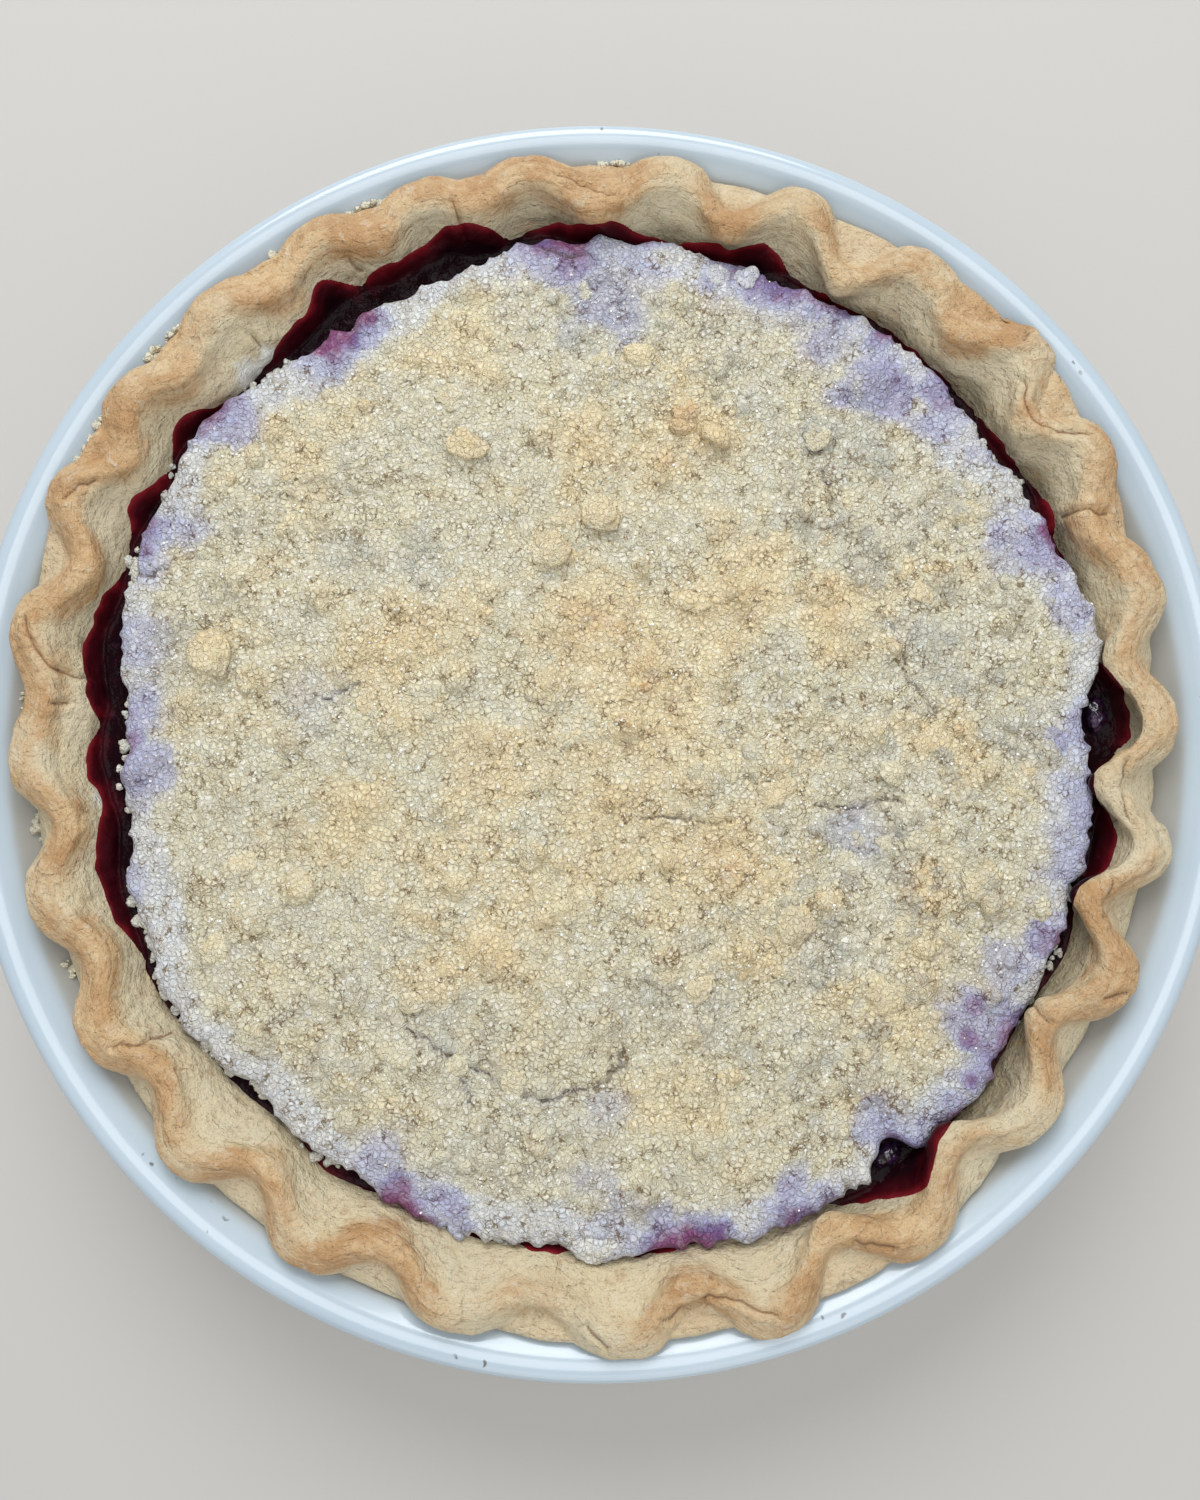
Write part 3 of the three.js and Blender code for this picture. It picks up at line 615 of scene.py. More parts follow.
class Finish(Tree):
    """One material, built from nodes around a Principled shader."""

    def __init__(self, name):
        self.material = bpy.data.materials.new(name)
        self.material.use_nodes = True
        super().__init__(self.material.node_tree)
        self.shader = self.tree.nodes["Principled BSDF"]

    def here(self):
        return self.value("ShaderNodeTexCoord", output="Object")

    def attribute(self, name):
        return self.value("ShaderNodeAttribute", {"attribute_name": name}, output="Fac")

    def noise(self, scale, detail=2.0, roughness=0.5, vector=None):
        named = {"Scale": scale, "Detail": detail, "Roughness": roughness}
        return self.value("ShaderNodeTexNoise", None, vector or self.here(), **named)

    def cells(self, scale, feature="F1", vector=None, output="Distance"):
        vector = vector or self.here()
        return self.value("ShaderNodeTexVoronoi", {"feature": feature}, vector, Scale=scale, output=output)

    def swayed(self, amount, scale):
        """The place on the object, moved to and fro by noise, for patterns with uneven lines."""
        offset = self.value("ShaderNodeTexNoise", None, self.here(), Scale=scale, Detail=2.0, output="Color")
        centred = self.value("ShaderNodeVectorMath", {"operation": "SUBTRACT"}, offset, (0.5, 0.5, 0.5))
        scaled = self.value("ShaderNodeVectorMath", {"operation": "SCALE"}, centred, Scale=amount)
        return self.value("ShaderNodeVectorMath", {"operation": "ADD"}, self.here(), scaled)

    def mix(self, amount, first, second, blend="MIX"):
        node = self.tree.nodes.new("ShaderNodeMix")
        node.data_type, node.blend_type, node.clamp_factor = "RGBA", blend, True
        self.feed(node.inputs[0], amount)
        self.feed(node.inputs[6], first)
        self.feed(node.inputs[7], second)
        return Value(self, node.outputs[2])

    def layers(self, colour, over):
        """Colours laid over one another: mask, where it starts and is full, its most, and the colour."""
        for mask, low, high, most, tint in over:
            colour = self.mix(mask.between(low, high, 0.0, most), colour, srgb(*tint))
        return colour

    def bump(self, height, distance, strength=1.0, normal=None):
        node = self.node("ShaderNodeBump", None, Height=height, Distance=distance, Strength=strength)
        if normal:
            self.feed(node.inputs["Normal"], normal)
        return Value(self, node.outputs["Normal"])

    def set(self, **terms):
        for key, term in terms.items():
            self.feed(self.shader.inputs[key.replace("_", " ")], term)
        return self


# ------------------------------------------------------------------ loose crumbs

def ball(subdivisions):
    """Points and triangles of a round ball of radius 1."""
    shape = bmesh.new()
    bmesh.ops.create_icosphere(shape, subdivisions=subdivisions, radius=1.0)
    points = np.array([v.co[:] for v in shape.verts])
    faces = np.array([[v.index for v in face.verts] for face in shape.faces])
    shape.free()
    return points, faces


# crumbs: how flat they are, and how knobbly the strewn and the stray ones are
FLAT, KNOBBLY, STRAY_KNOBBLY = 0.68, 0.34, 0.55


def crumb_form(points, seed, knobbly=KNOBBLY):
    """A ball's points pushed about until it is an uneven crumb."""
    wave = rough_space(points + 31.7 * seed, 0.9, 2, SEED + seed)
    stretch = 1 + 0.3 * (chance(np.arange(3), seed, SEED) - 0.5)
    return points * (1 + knobbly * wave)[:, None] * stretch * (1, 1, FLAT)


def put_away(shape, collection):
    """Takes a shape out of the scene and keeps it for strewing."""
    bpy.context.scene.collection.objects.unlink(shape)
    collection.objects.link(shape)


CRUMB_KINDS, SUGAR_KINDS = 6, 3


def crumb_shapes(name, subdivisions, material):
    """A collection of uneven crumbs, 1 m in radius, for strewing."""
    collection = bpy.data.collections.new(name)
    points, faces = ball(subdivisions)
    for kind in range(CRUMB_KINDS):
        form = crumb_form(points, kind + 1) / MM
        put_away(make_piece(f"{name}_{kind}", form, faces, material), collection)
    return collection


def sugar_shapes(name, material):
    """A collection of uneven boxes, up to 1 m in half width, for strewing."""
    collection = bpy.data.collections.new(name)
    corners = np.array([(x, y, z) for x in (-1, 1) for y in (-1, 1) for z in (-1, 1)], float)
    faces = np.array([(0, 1, 3, 2), (4, 6, 7, 5), (0, 4, 5, 1), (2, 3, 7, 6), (0, 2, 6, 4), (1, 5, 7, 3)])
    for kind in range(SUGAR_KINDS):
        form = corners * (0.5 + 0.35 * chance(np.arange(3), kind, SEED)) / MM
        put_away(make_piece(f"{name}_{kind}", form, faces, material, smooth=False), collection)
    return collection


# strewn crumbs: how far they lean (radians), the range of their colour, and a number well over that of kinds
LEAN = 0.7
PALER, MORE_TOASTED = -0.25, 0.45
MANY = 59


def strewing_tree():
    """Geometry Nodes that strew small shapes over a surface, each sunk a little into it."""
    group = bpy.data.node_groups.new("strewn_over_surface", "GeometryNodeTree")
    kinds = {"Surface": "Geometry", "Shapes": "Collection", "Finish": "Material", "Where": "String",
             "Per square metre": "Float", "Smallest": "Float", "Largest": "Float", "Sunk": "Float",
             "Whole": "Float", "Seed": "Int"}
    for name, kind in kinds.items():
        group.interface.new_socket(name, in_out="INPUT", socket_type="NodeSocket" + kind)
    group.interface.new_socket("Strewn", in_out="OUTPUT", socket_type="NodeSocketGeometry")
    tree = Tree(group)
    given = tree.node("NodeGroupInput")
    given = {name: Value(tree, given.outputs[name]) for name in kinds}
    number = {"data_type": "FLOAT"}
    share = tree.value("GeometryNodeInputNamedAttribute", number, given["Where"])
    spread = tree.node("GeometryNodeDistributePointsOnFaces", {"distribute_method": "RANDOM"},
                       Mesh=given["Surface"], Density=share * given["Per square metre"], Seed=given["Seed"])
    points, normal, turned = (Value(tree, spread.outputs[k]) for k in ("Points", "Normal", "Rotation"))

    def random(low, high, seed):
        return tree.value("FunctionNodeRandomValue", number, None, None, low, high, Seed=seed, output=1)

    chosen = random(0.0, 1.0, 11)
    size = given["Smallest"] + (given["Largest"] - given["Smallest"]) * chosen * chosen
    tilt = tree.value("ShaderNodeCombineXYZ", None, random(-LEAN, LEAN, 12), random(-LEAN, LEAN, 13),
                      random(-math.pi, math.pi, 14))
    turn = tree.value("FunctionNodeEulerToRotation", None, tilt)
    turned = tree.value("FunctionNodeRotateRotation", {"rotation_space": "LOCAL"}, turned, turn)
    toast = tree.value("GeometryNodeInputNamedAttribute", number, "toast")
    for name, amount in (("toast", toast + random(PALER, MORE_TOASTED, 15)), ("whole", given["Whole"])):
        points = tree.value("GeometryNodeStoreNamedAttribute", {"data_type": "FLOAT", "domain": "POINT"},
                            points, Name=name, Value=amount)
    offset = tree.value("ShaderNodeVectorMath", {"operation": "SCALE"}, normal,
                        Scale=size * given["Sunk"] * -1.0)
    points = tree.value("GeometryNodeSetPosition", None, points, Offset=offset)
    shapes = tree.value("GeometryNodeCollectionInfo", None, given["Shapes"], Separate_Children=True,
                        Reset_Children=True)
    which = tree.value("FunctionNodeRandomValue", {"data_type": "INT"}, None, None, None, None, 0, MANY,
                       Seed=16, output=2)
    placed = tree.value("GeometryNodeInstanceOnPoints", None, points, Instance=shapes, Pick_Instance=True,
                        Instance_Index=which, Rotation=turned, Scale=size)
    made = tree.value("GeometryNodeRealizeInstances", None, placed)
    finished = tree.value("GeometryNodeSetMaterial", None, made, Material=given["Finish"])
    end = tree.node("NodeGroupOutput")
    tree.feed(end.inputs["Strewn"], finished)
    return group


def strew(name, surface, group, **inputs):
    """A plain mesh of small shapes strewn over a piece, which itself isn't changed."""
    host = bpy.data.objects.new(name + "_host", surface.data)
    bpy.context.scene.collection.objects.link(host)
    modifier = host.modifiers.new("strew", "NODES")
    modifier.node_group = group
    for socket in group.interface.items_tree:
        if socket.in_out == "INPUT" and socket.name.replace(" ", "_") in inputs:
            modifier[socket.identifier] = inputs[socket.name.replace(" ", "_")]
    evaluated = host.evaluated_get(bpy.context.evaluated_depsgraph_get())
    mesh = bpy.data.meshes.new_from_object(evaluated)
    mesh.name = name
    bpy.data.objects.remove(host)
    piece = bpy.data.objects.new(name, mesh)
    bpy.context.scene.collection.objects.link(piece)
    return piece


def remove_shapes(collection):
    """Removes the shapes that were strewn, and their meshes."""
    for shape in list(collection.objects):
        mesh = shape.data
        bpy.data.objects.remove(shape)
        bpy.data.meshes.remove(mesh)
    bpy.data.collections.remove(collection)


# ------------------------------------------------------------------ camera, floor and light

CAMERA_AT, CAMERA_TILT = (0.78, -26.7, 288.7), 5.0
LENS, SENSOR = 28.8, 36.0
NEAREST_SEEN = 0.01
FLOOR_SIZE, FLOOR_LEVEL = 6.0, -0.0004
SKY, SKY_STRENGTH = (0.88, 0.94, 1.0, 1), 0.42
LIGHTS_AIM_AT = (0, 0, 0.03)
# soft lights: name, place and width (m), power (W), colour
LIGHTS = [("window_north", (-0.1, 0.9, 0.85), 0.8, 10.5, (0.96, 0.98, 1.0)),
          ("room_south", (0.1, -0.9, 0.6), 1.0, 2.6, (1.0, 0.99, 0.97)),
          ("sky_above", (0.1, 0.1, 1.3), 0.8, 5.0, (0.97, 0.99, 1.0))]


def set_camera():
    """The camera where the photograph's was, above the pie and a little in front of its middle."""
    camera = bpy.data.cameras.new("camera")
    camera.lens, camera.sensor_width = LENS, SENSOR
    camera.clip_start = NEAREST_SEEN
    holder = bpy.data.objects.new("camera", camera)
    holder.location = [c * MM for c in CAMERA_AT]
    holder.rotation_euler = (math.radians(CAMERA_TILT), 0, 0)
    bpy.context.scene.collection.objects.link(holder)
    bpy.context.scene.camera = holder


def make_floor():
    """A plain pale floor."""
    finish = Finish("pale_floor")
    finish.set(Base_Color=srgb(196, 192, 186), Roughness=0.8)
    bpy.ops.mesh.primitive_plane_add(size=FLOOR_SIZE, location=(0, 0, FLOOR_LEVEL))
    floor = bpy.context.object
    floor.name = "floor"
    floor.data.materials.append(finish.material)


def area_light(name, at, size, watts, colour):
    light = bpy.data.lights.new(name, "AREA")
    light.shape, light.size, light.energy, light.color = "DISK", size, watts, colour
    holder = bpy.data.objects.new(name, light)
    holder.location = at
    holder.rotation_euler = (Vector(LIGHTS_AIM_AT) - Vector(at)).to_track_quat("-Z", "Y").to_euler()
    bpy.context.scene.collection.objects.link(holder)


def set_light():
    """A pale sky and three soft lights, the strongest from the back."""
    world = bpy.data.worlds.new("sky")
    world.use_nodes = True
    background = world.node_tree.nodes["Background"]
    background.inputs[0].default_value = SKY
    background.inputs[1].default_value = SKY_STRENGTH
    bpy.context.scene.world = world
    for light in LIGHTS:
        area_light(*light)
    bpy.context.scene.view_settings.view_transform = "Standard"
    bpy.context.scene.view_settings.look = "None"


# ------------------------------------------------------------------ dish

DISH_SIDES = 288
HEEL_R = 6.4
LIP_HALF_W, LIP_HALF_H = 2.6, 2.5
OUTSIDE_HEIGHTS = (6.5, 12, 18, 24, 28, 31, 33.5)
INSIDE_HEIGHTS = (39.2, 38.2, 37, 35, 33, 30, 26, 20, 15, 12)
SMEAR_WAVES = 40


def arc(centre, radius, start, end, count):
    """Points on an upright arc from one angle to another."""
    turn = np.radians(np.linspace(start, end, count))
    return [(centre[0] + radius[0] * math.cos(t), centre[1] + radius[1] * math.sin(t)) for t in turn]


def dish_profile():
    """The dish's outline from the middle of its base, round the lip, to the middle of its floor."""
    heel = arc((BASE_R, HEEL_R), (HEEL_R, HEEL_R), -90, -28, 7)
    outside = [(wall_radius(z) + WALL_T, z) for z in OUTSIDE_HEIGHTS]
    lip = arc((RIM_R - LIP_HALF_W, RIM_Z - LIP_HALF_H), (LIP_HALF_W, LIP_HALF_H), -62, 90, 15)
    lip += [(RIM_R - 3.6, 41.9), (RIM_R - 4.5, 41.6), (RIM_R - 5.4, 41.15), (LIP_INNER_R, LIP_INNER_Z)]
    inside = [(LIP_INNER_R - 0.75, 40.0)] + [(wall_radius(z), z) for z in INSIDE_HEIGHTS]
    fillet = [(FLOOR_R + 8.6, FLOOR_Z + 4.6), (FLOOR_R + 6.4, FLOOR_Z + 1.8), (FLOOR_R, FLOOR_Z)]
    return [(0, 0)] + heel + outside + lip + inside + fillet + [(0, FLOOR_Z)]


def glaze():
    """White glaze, bluish grey for a painted reflection of the sky and lighter on the outer wall against its
    shade: painted shade deep inside, smeared beside the pastry, with dark specks on the lip.
    """
    f = Finish("white_glaze")
    haze = f.noise(14.0, 3.0, 0.6)
    # painted reflection of the sky: the glaze is bluish grey; below the lip the outer wall is lighter,
    # painted against its shade
    body = f.mix(haze.between(0.3, 0.7), srgb(183, 197, 207), srgb(190, 203, 212))
    body = f.mix(f.attribute("outside"), body, srgb(216, 219, 220))
    greasy = f.noise(60.0, 4.0, 0.65)
    # painted shade: the inside of the wall is greyed lower down, towards the pastry, where the crust shades
    # it
    deep = f.attribute("deep")
    body = f.mix((deep + 0.25 * (greasy - 0.5)).between(0.0, 1.0, 0.0, 0.9), body, srgb(160, 157, 150))
    smeared = (f.attribute("smear") * greasy * 1.6).between(0.3, 1.0, 0.0, 0.5)
    body = f.mix(smeared, body, srgb(176, 164, 140))
    chips = f.cells(260.0, vector=f.swayed(0.004, 300.0))
    rare = f.noise(34.0, 2.0, 0.5)
    mark = chips.between(0.16, 0.08) * rare.between(0.56, 0.62) * f.attribute("lip")
    body = f.mix(mark * 0.85, body, srgb(92, 88, 84))
    f.set(Base_Color=body, Roughness=greasy.between(0.3, 0.8, 0.14, 0.22), IOR=1.5)
    f.set(Coat_Weight=0.3, Coat_Roughness=0.08)
    return f.material


def make_dish():
    """The dish, turned, with where its finish is smeared, specked and in shade."""
    points, faces = lathe(dish_profile(), DISH_SIDES)
    radius, z = np.hypot(points[:, 0], points[:, 1]), points[:, 2]
    deg = np.degrees(np.arctan2(points[:, 1], points[:, 0]))
    inside = radius < wall_radius(np.minimum(z, 40)) + 1.0
    smeared = 0.55 + 0.45 * hills_round(deg, SMEAR_WAVES, SEED + 5)
    values = {"smear": inside * smeared * smoothstep(40.2, 33, z),
              "lip": smoothstep(39.0, 40.6, z),
              # where the outer wall is painted lighter against its shade
              "outside": (1 - inside) * smoothstep(40.5, 37.0, z),
              # painted shade on the inside of the wall below the lip
              "deep": inside * smoothstep(40.6, 37.0, z)}
    dish = make_piece("white_dish", points, faces, glaze(), values=values)
    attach(dish, BODY)
    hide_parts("dish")


# ------------------------------------------------------------------ pastry

CRUST_SIDES = 1440
CRUST_STEPS = [1, 1, 1, 2, 4, 6, 7, 7, 7, 7, 8, 9, 2, 1]
FOOT_RING, INNER_RING, LEVEL_RING = 4, 9, 12
CREASED_ABOVE = 37
# uneven height of the pastry: coarse and fine, as size and height (mm)
COARSE_DENTS, FINE_DENTS = (13.0, 0.55), (3.0, 0.22)
# a crease: half width of its dark line and of its dent, and the dent's depth; and where the raised pastry
# beside it lies, its half width and its height
CREASE_HALF, DENT_HALF, DENT_DEPTH = 0.45, 0.6, 0.6
SIDE_OUT, SIDE_HALF, SIDE_HEIGHT = 1.5, 0.9, 0.3


def crust_controls(deg):
    """The rings that the shell runs through at each angle, as the part has them: radius and height."""
    e = edge_at(deg)
    inside = shell_inside(deg)
    b, crest, crest_z, fill = e["bulge"], e["crest"], e["crest_z"], e["fill"]
    foot, foot_z = e["foot"], e["foot_z"]
    flat = 0 * deg
    rings = [
        # against the dish
        (flat + SHELL_HEEL_R, flat + FLOOR_Z + GAP),
        (flat + wall_radius(12.0) - GAP, flat + 12),
        (flat + wall_radius(FLARE_Z) - GAP, flat + FLARE_Z),
        (flat + wall_radius(32.0) - GAP, flat + 32),
        # up the outside of the flutes
        (foot, foot_z),
        (foot + lerp(0.8 * fill - 1.2, 0.5, b), foot_z + lerp(1.6 + 2.2 * fill, 1.6, b)),
        (lerp(crest + RIDGE_HALF + 0.6 + 0.6 * fill, e["reach"], b), crest_z - lerp(4 - 2.2 * fill, 2.7, b)),
        (crest + lerp(2.4, 3, b), crest_z - 0.8),
        (crest, crest_z),
        # down the inside
        (crest - lerp(2.2, 3, b), crest_z - 0.8),
        (lerp(crest - RIDGE_HALF, lerp(crest - 3, inside["above"], 0.5), b), crest_z - lerp(3.2, 3.9, b)),
        (inside["above"], flat + 37.6),
        (inside["level"], flat + JELLY_Z),
        (inside["low"], flat + SHELL_LOW_Z),
        (flat + SHELL_HEEL_R, flat + FLOOR_Z + SHELL_FLOOR_T + GAP),
    ]
    return np.array([[r, z] for r, z in rings])


def ring_row(ring):
    """The row of the finished grid at which one of the shell's rings lies."""
    return sum(CRUST_STEPS[:ring])


def grid_normals(points, rings):
    """Outward normals of a grid of rings."""
    p = points.reshape(rings, CRUST_SIDES, 3)
    across = np.gradient(p, axis=0)
    along = np.roll(p, -1, 1) - np.roll(p, 1, 1)
    normal = np.cross(along, across)
    normal /= np.linalg.norm(normal, axis=2, keepdims=True) + 1e-12
    return normal.reshape(-1, 3)


def crust_grid():
    """Every point of the shell with its bakes, dents and cracks, and what its finish needs."""
    deg = np.arange(CRUST_SIDES) * 360 / CRUST_SIDES
    curve = smooth_through(crust_controls(deg), CRUST_STEPS)
    rings = len(curve)
    turn = np.radians(deg)
    r, z = curve[:, 0], curve[:, 1]
    points = np.stack([(r * np.cos(turn)).ravel(), (r * np.sin(turn)).ravel(), z.ravel()], 1)
    normal = grid_normals(points, rings)
    row = np.repeat(np.arange(rings), CRUST_SIDES)
    seen = smoothstep(ring_row(FOOT_RING) - 1, ring_row(FOOT_RING) + 5, row)
    seen = seen * smoothstep(JELLY_Z - 3, JELLY_Z + 1, points[:, 2])
    relief = (COARSE_DENTS[1] * rough_space(points, COARSE_DENTS[0], 3, SEED + 10)
              + FINE_DENTS[1] * rough_space(points, FINE_DENTS[0], 3, SEED + 20))
    crack = np.zeros(len(points))
    upper = points[:, 2] > CREASED_ABOVE
    for number, crease in enumerate(CREASES):
        line = wandering([at_angle(*place) for place in crease], 1.6, 1.1, SEED + 200 + number)
        near = from_line(points[upper, 0], points[upper, 1], line)
        crack[upper] = np.maximum(crack[upper], np.exp(-(near / CREASE_HALF) ** 2))
        sides = SIDE_HEIGHT * np.exp(-((near - SIDE_OUT) / SIDE_HALF) ** 2)
        relief[upper] -= DENT_DEPTH * np.exp(-(near / DENT_HALF) ** 2) - sides
    points = points + normal * (relief * seen)[:, None]
    e = {key: np.tile(numbers, rings) for key, numbers in edge_at(deg).items()}
    below = e["crest_z"] - points[:, 2]
    out = np.hypot(points[:, 0], points[:, 1]) - e["crest"]
    browning = 0.85 + 0.55 * rough_space(points, 20.0, 2, SEED + 25)
    skirt = smoothstep(2.5, 6.0, out) * smoothstep(1.0, 3.5, below)
    skirt = skirt * (1 - e["bulge"]) ** 0.7 * (1 - 0.9 * e["fill"])
    inner = smoothstep(-7.5, -0.5, out + 1.8 * rough_space(points, 9.0, 3, SEED + 27))
    ridge = inner * smoothstep(9.0, 4.0, below) * (1 - 0.22 * e["bulge"])
    low = smoothstep(3.0, 10.5, below + 1.2 * rough_space(points, 7.0, 2, SEED + 29)) * (out < 0)
    # soaked pastry and painted shade on the shell's inside
    oily = np.zeros(len(points))
    for middle, half, strength in SOAKED_AND_SHADED:
        oily = np.maximum(oily, strength * smoothstep(1.3, 0.4, around(np.tile(deg, rings), middle) / half))
    flour = [(*at_angle(a, away), size, strength) for a, away, size, strength in FLOUR]
    floury = spots(points[:, 0], points[:, 1], flour, SEED + 28)
    down = np.cumsum(np.hypot(np.diff(r, axis=0, prepend=r[:1]), np.diff(z, axis=0, prepend=z[:1])), 0)
    values = {"ridge": ridge * browning, "skirt": skirt, "low": low, "crack": crack * seen,
              "oily": oily * low, "floury": floury * low, "down": down.ravel() * MM}
    return deg, rings, points, normal, values


# streaks that run down the flutes: finer along the height than across it, per metre
STREAK_ACROSS, STREAK_DOWN = 60.0, 560.0


def pastry():
    """Pastry: golden on the ridge, cream outside, greyer low down inside, olive grey there where soaked and
    with painted shade, floury in places.
    """
    f = Finish("baked_pastry")
    names = ("ridge", "skirt", "low", "crack", "oily", "floury")
    ridge, skirt, low, crack, oily, floury = (f.attribute(name) for name in names)
    place = f.node("ShaderNodeSeparateXYZ", None, f.here())
    lay = f.value("ShaderNodeCombineXYZ", None, Value(f, place.outputs[0]) * STREAK_ACROSS,
                  Value(f, place.outputs[1]) * STREAK_ACROSS, f.attribute("down") * STREAK_DOWN)
    streak = f.noise(1.0, 4.0, 0.62, lay)
    patch = f.noise(85.0, 5.0, 0.62)
    blot = f.noise(300.0, 4.0, 0.65)
    fine = f.noise(900.0, 4.0, 0.7)
    base = f.mix(patch.between(0.35, 0.7), srgb(214, 199, 166), srgb(221, 203, 164))
    baked = (patch + 0.45 * (streak - 0.5)).between(0.3, 0.66)
    brown = f.mix(baked, srgb(217, 184, 138), srgb(190, 146, 98))
    toasted = (ridge + 1.1 * (patch - 0.5) + 0.5 * (streak - 0.5) + 0.6 * (blot - 0.5)).between(0.15, 0.95)
    colour = f.mix(toasted, base, brown)
    colour = f.mix(skirt * 0.9, colour, srgb(222, 208, 174))
    colour = f.layers(colour, [
        (low + 0.6 * (blot - 0.5), 0.1, 1.1, 0.5, (206, 191, 159)),
        # olive grey: soaked pastry, and painted shade where the inside is turned from the light
        (oily + 0.5 * (patch - 0.5), 0.1, 0.95, 0.9, (146, 134, 106)),
        (blot, 0.55, 0.72, 0.45, (228, 216, 190)),
        (blot, 0.45, 0.3, 0.45, (174, 130, 84)),
        (fine, 0.56, 0.74, 0.5, (228, 212, 182)),
        (fine, 0.44, 0.28, 0.45, (150, 112, 72)),
        (floury + 0.9 * (fine - 0.5) + 0.6 * (blot - 0.5), 0.3, 0.8, 0.85, (234, 233, 226))])
    crackle = f.cells(170.0, "DISTANCE_TO_EDGE", f.swayed(0.009, 110.0)).between(0.05, 0.012)
    crackle = crackle * f.noise(70.0, 3.0, 0.6).between(0.48, 0.6)
    colour = f.mix(crackle * 0.22, colour, srgb(150, 108, 66))
    colour = f.layers(colour, [(crack, 0.4, 1.0, 0.75, (122, 80, 46))])
    relief = f.bump(patch, 0.003, 0.5, f.bump(blot, 0.0016, 0.8, f.bump(1 - crackle, 0.0004, 0.4)))
    relief = f.bump(streak, 0.0012, 0.65, f.bump(fine, 0.0007, 0.9, relief))
    f.set(Base_Color=colour, Roughness=fine.between(0.2, 0.8, 0.42, 0.66), Normal=relief)
    return f.material


def make_crust(grid):
    """The pastry shell, closed under the filling."""
    _, rings, points, _, values = grid
    points = np.concatenate([points, [[0, 0, FLOOR_Z + GAP], [0, 0, FLOOR_Z + SHELL_FLOOR_T + GAP]]])
    values = {key: np.append(numbers, [0, 0]) for key, numbers in values.items()}
    crust = make_piece("fluted_crust", points, closed_faces(rings, CRUST_SIDES), pastry(), values=values)
    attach(crust, BODY)
    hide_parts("crust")


# ------------------------------------------------------------------ jelly

# the film on the shell: how far it stands off, how deep its edge is sunk, its swelling, and its buried back
FILM_T, FILM_SUNK, FILM_SWELL, BURIED = 0.3, 0.6, 0.5, 1.2
DEEPEST = 9.0
# the seen edge is rounded over these angles and ripples: waves round the pie and their height (mm)
EDGE_ROUNDING = (-1.1, -0.4, 0.4, 1.1)
RIPPLES, FINE_RIPPLES = (130, 0.55), (290, 0.45)
LEVEL_WAVE, HUG_HEIGHT, HUG_REACH = 0.22, 0.5, 0.8
JELLY_STEPS = (0.3, 0.8, 1.4, 2, 2.7, 3.5, 4.4, 5.4, 6.5, 8, 10, 12.5, 16)


def under_edge(points):
    """How far inside the seen edge of the jelly each point is (mm), as the camera sees it."""
    eye = np.array(CAMERA_AT)
    far = (eye[2] - SIGHT_Z) / (eye[2] - points[:, 2])
    seen = eye + (points - eye) * far[:, None]
    deg = np.degrees(np.arctan2(seen[:, 1], seen[:, 0])) % 360
    angle, away = np.array(JELLY_LINE, float).T
    edge = sum(np.interp(deg + turn, angle, away, period=360) for turn in EDGE_ROUNDING) / len(EDGE_ROUNDING)
    edge = edge + RIPPLES[1] * hills_round(deg, RIPPLES[0], SEED + 31)
    edge = edge + FINE_RIPPLES[1] * hills_round(deg, FINE_RIPPLES[0], SEED + 32)
    return edge - np.hypot(seen[:, 0], seen[:, 1])


def wet_jelly():
    """Jelly that is red where it is thin at its edge and nearly black further in, with painted shade where
    only a narrow strip shows.
    """
    f = Finish("grape_jelly")
    swirl = f.noise(150.0, 3.0, 0.55)
    shade = f.attribute("depth") + 2.4 * (swirl - 0.5) + 5.0 * (f.noise(45.0, 2.0, 0.5) - 0.42)
    colour = f.mix(shade.between(0.0, 2.6), srgb(120, 26, 34), srgb(58, 11, 18))
    fine = f.noise(420.0, 3.0, 0.6)
    colour = f.layers(colour, [(shade, 2.0, 5.5, 1.0, (24, 7, 12)), (fine, 0.62, 0.75, 0.25, (78, 30, 54))])
    f.set(Base_Color=colour, Roughness=0.09, IOR=1.4, Specular_IOR_Level=0.06)
    f.set(Normal=f.bump(fine, 0.0006, 0.6, f.bump(f.noise(150.0, 2.0, 0.5), 0.001, 0.35)))
    return f.material


